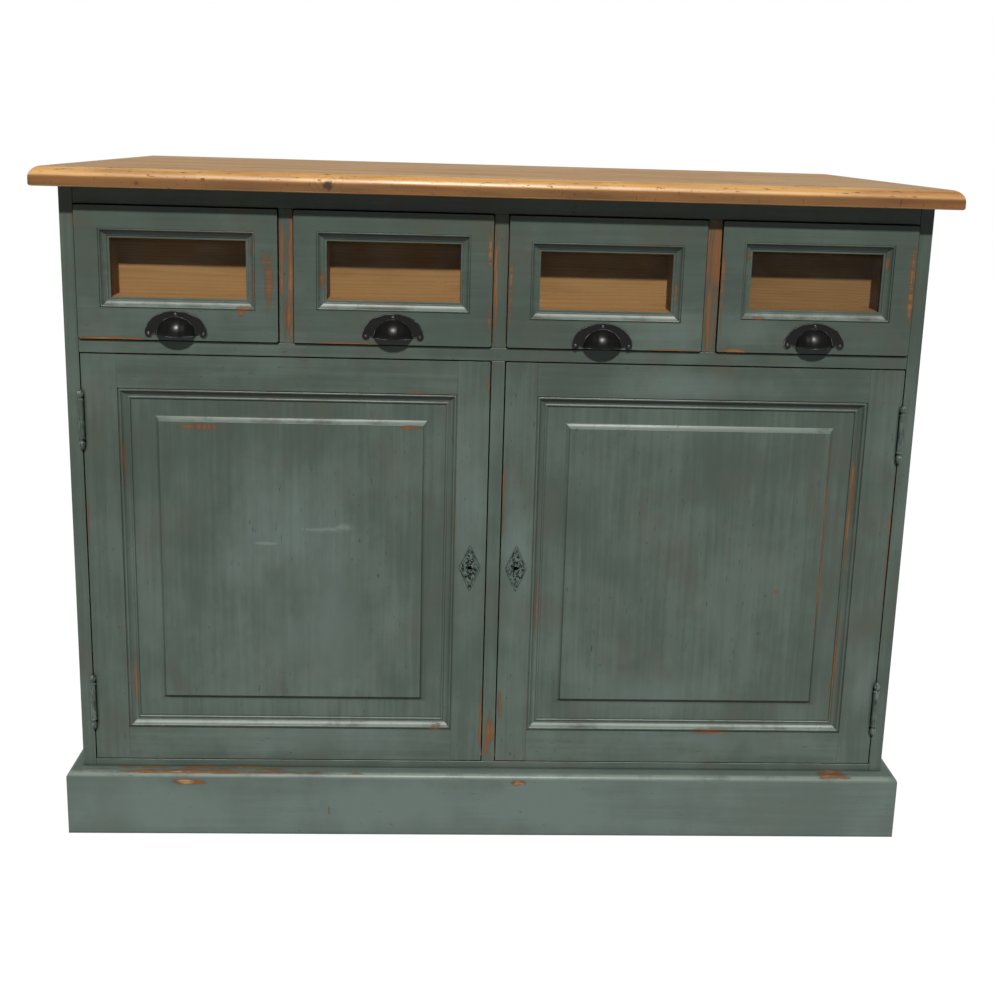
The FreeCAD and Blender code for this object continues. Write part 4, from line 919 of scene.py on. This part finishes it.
def lay_floor():
    """A wide level floor that the camera sees as white."""
    mesh = bpy.data.meshes.new("floor")
    half = FLOOR_SIZE / 2
    mesh.from_pydata([(-half, -half, 0), (half, -half, 0), (half, half, 0), (-half, half, 0)], [],
                     [(0, 1, 2, 3)])
    floor = bpy.data.objects.new("floor", mesh)
    bpy.context.scene.collection.objects.link(floor)
    tree = Tree("pale_floor")
    rays = tree.tree.nodes.new("ShaderNodeLightPath").outputs
    plain = tree.add("BsdfDiffuse", {"Color": FLOOR_GREY})
    seen = tree.larger(rays["Is Camera Ray"], rays["Is Glossy Ray"])
    seen = tree.larger(seen, rays["Is Transmission Ray"])
    glow = tree.add("Emission", {"Color": WHITE, "Strength": tree.times(seen, FLOOR_GLOW)})
    mesh.materials.append(tree.close(tree.add("AddShader", {0: plain, 1: glow})))


def surround():
    """White where the camera sees past the floor, and a faint cool fill for everything else."""
    world = bpy.data.worlds.new("studio")
    bpy.context.scene.world = world
    world.use_nodes = True
    world.node_tree.nodes.clear()
    add = world.node_tree.nodes.new
    join = world.node_tree.links.new
    rays = add("ShaderNodeLightPath").outputs
    seen = add("ShaderNodeMath")
    seen.operation = "MAXIMUM"
    join(rays["Is Camera Ray"], seen.inputs[0])
    join(rays["Is Transmission Ray"], seen.inputs[1])
    either = add("ShaderNodeMixShader")
    join(seen.outputs[0], either.inputs[0])
    for index, colour, strength in ((1, FILL_COLOUR, FILL_STRENGTH), (2, WHITE, 1.0)):
        background = add("ShaderNodeBackground")
        background.inputs["Color"].default_value = colour
        background.inputs["Strength"].default_value = strength
        join(background.outputs[0], either.inputs[index])
    join(either.outputs[0], add("ShaderNodeOutputWorld").inputs["Surface"])


def hang_lamps():
    """The key light in front, and one lamp behind each end."""
    across, deep, high = SIDE_DIRECTION
    lamps = (("key", KEY_STRENGTH, KEY_SPREAD, KEY_COLOUR, (0, -1, KEY_SLOPE)),
             ("side_left", SIDE_STRENGTH, SIDE_SPREAD, SIDE_COLOUR, (-across, deep, high)),
             ("side_right", SIDE_STRENGTH, SIDE_SPREAD, SIDE_COLOUR, (across, deep, high)))
    for name, strength, spread, colour, toward_light in lamps:
        lamp = bpy.data.objects.new(name, bpy.data.lights.new(name, "SUN"))
        lamp.data.energy = strength
        lamp.data.angle = spread
        lamp.data.color = colour
        lamp.rotation_euler = Vector(toward_light).to_track_quat("Z", "Y").to_euler()
        bpy.context.scene.collection.objects.link(lamp)


def place_camera():
    """The camera of the photograph. Its shift puts the optical centre where the photograph has it."""
    data = bpy.data.cameras.new("camera")
    data.sensor_width = SENSOR_MM
    long_side = max(IMAGE_WIDTH, IMAGE_HEIGHT)
    data.lens = FOCAL_LENGTH_PIXELS * SENSOR_MM / long_side
    data.shift_x = (IMAGE_WIDTH / 2 - OPTICAL_CENTRE_PIXELS[0]) / long_side
    data.shift_y = (OPTICAL_CENTRE_PIXELS[1] - IMAGE_HEIGHT / 2) / long_side
    data.clip_start = NEAREST_SEEN
    camera = bpy.data.objects.new("camera", data)
    bpy.context.scene.collection.objects.link(camera)
    yaw, pitch, roll = CAMERA_YAW, CAMERA_PITCH, CAMERA_ROLL
    forward = Vector((math.sin(yaw) * math.cos(pitch), math.cos(yaw) * math.cos(pitch), math.sin(pitch)))
    level = Vector((math.cos(yaw), -math.sin(yaw), 0))
    rise = level.cross(forward)
    right = math.cos(roll) * level + math.sin(roll) * rise
    up = math.cos(roll) * rise - math.sin(roll) * level
    turn = Matrix((right, up, -forward)).transposed().to_4x4()
    place = Vector((CAMERA_SIDEWAYS, front_y - CAMERA_FROM_FRONT, CAMERA_HEIGHT))
    camera.matrix_world = Matrix.Translation(place) @ turn
    bpy.context.scene.camera = camera


lay_floor()
surround()
hang_lamps()
place_camera()
bpy.context.scene.view_settings.view_transform = "Standard"
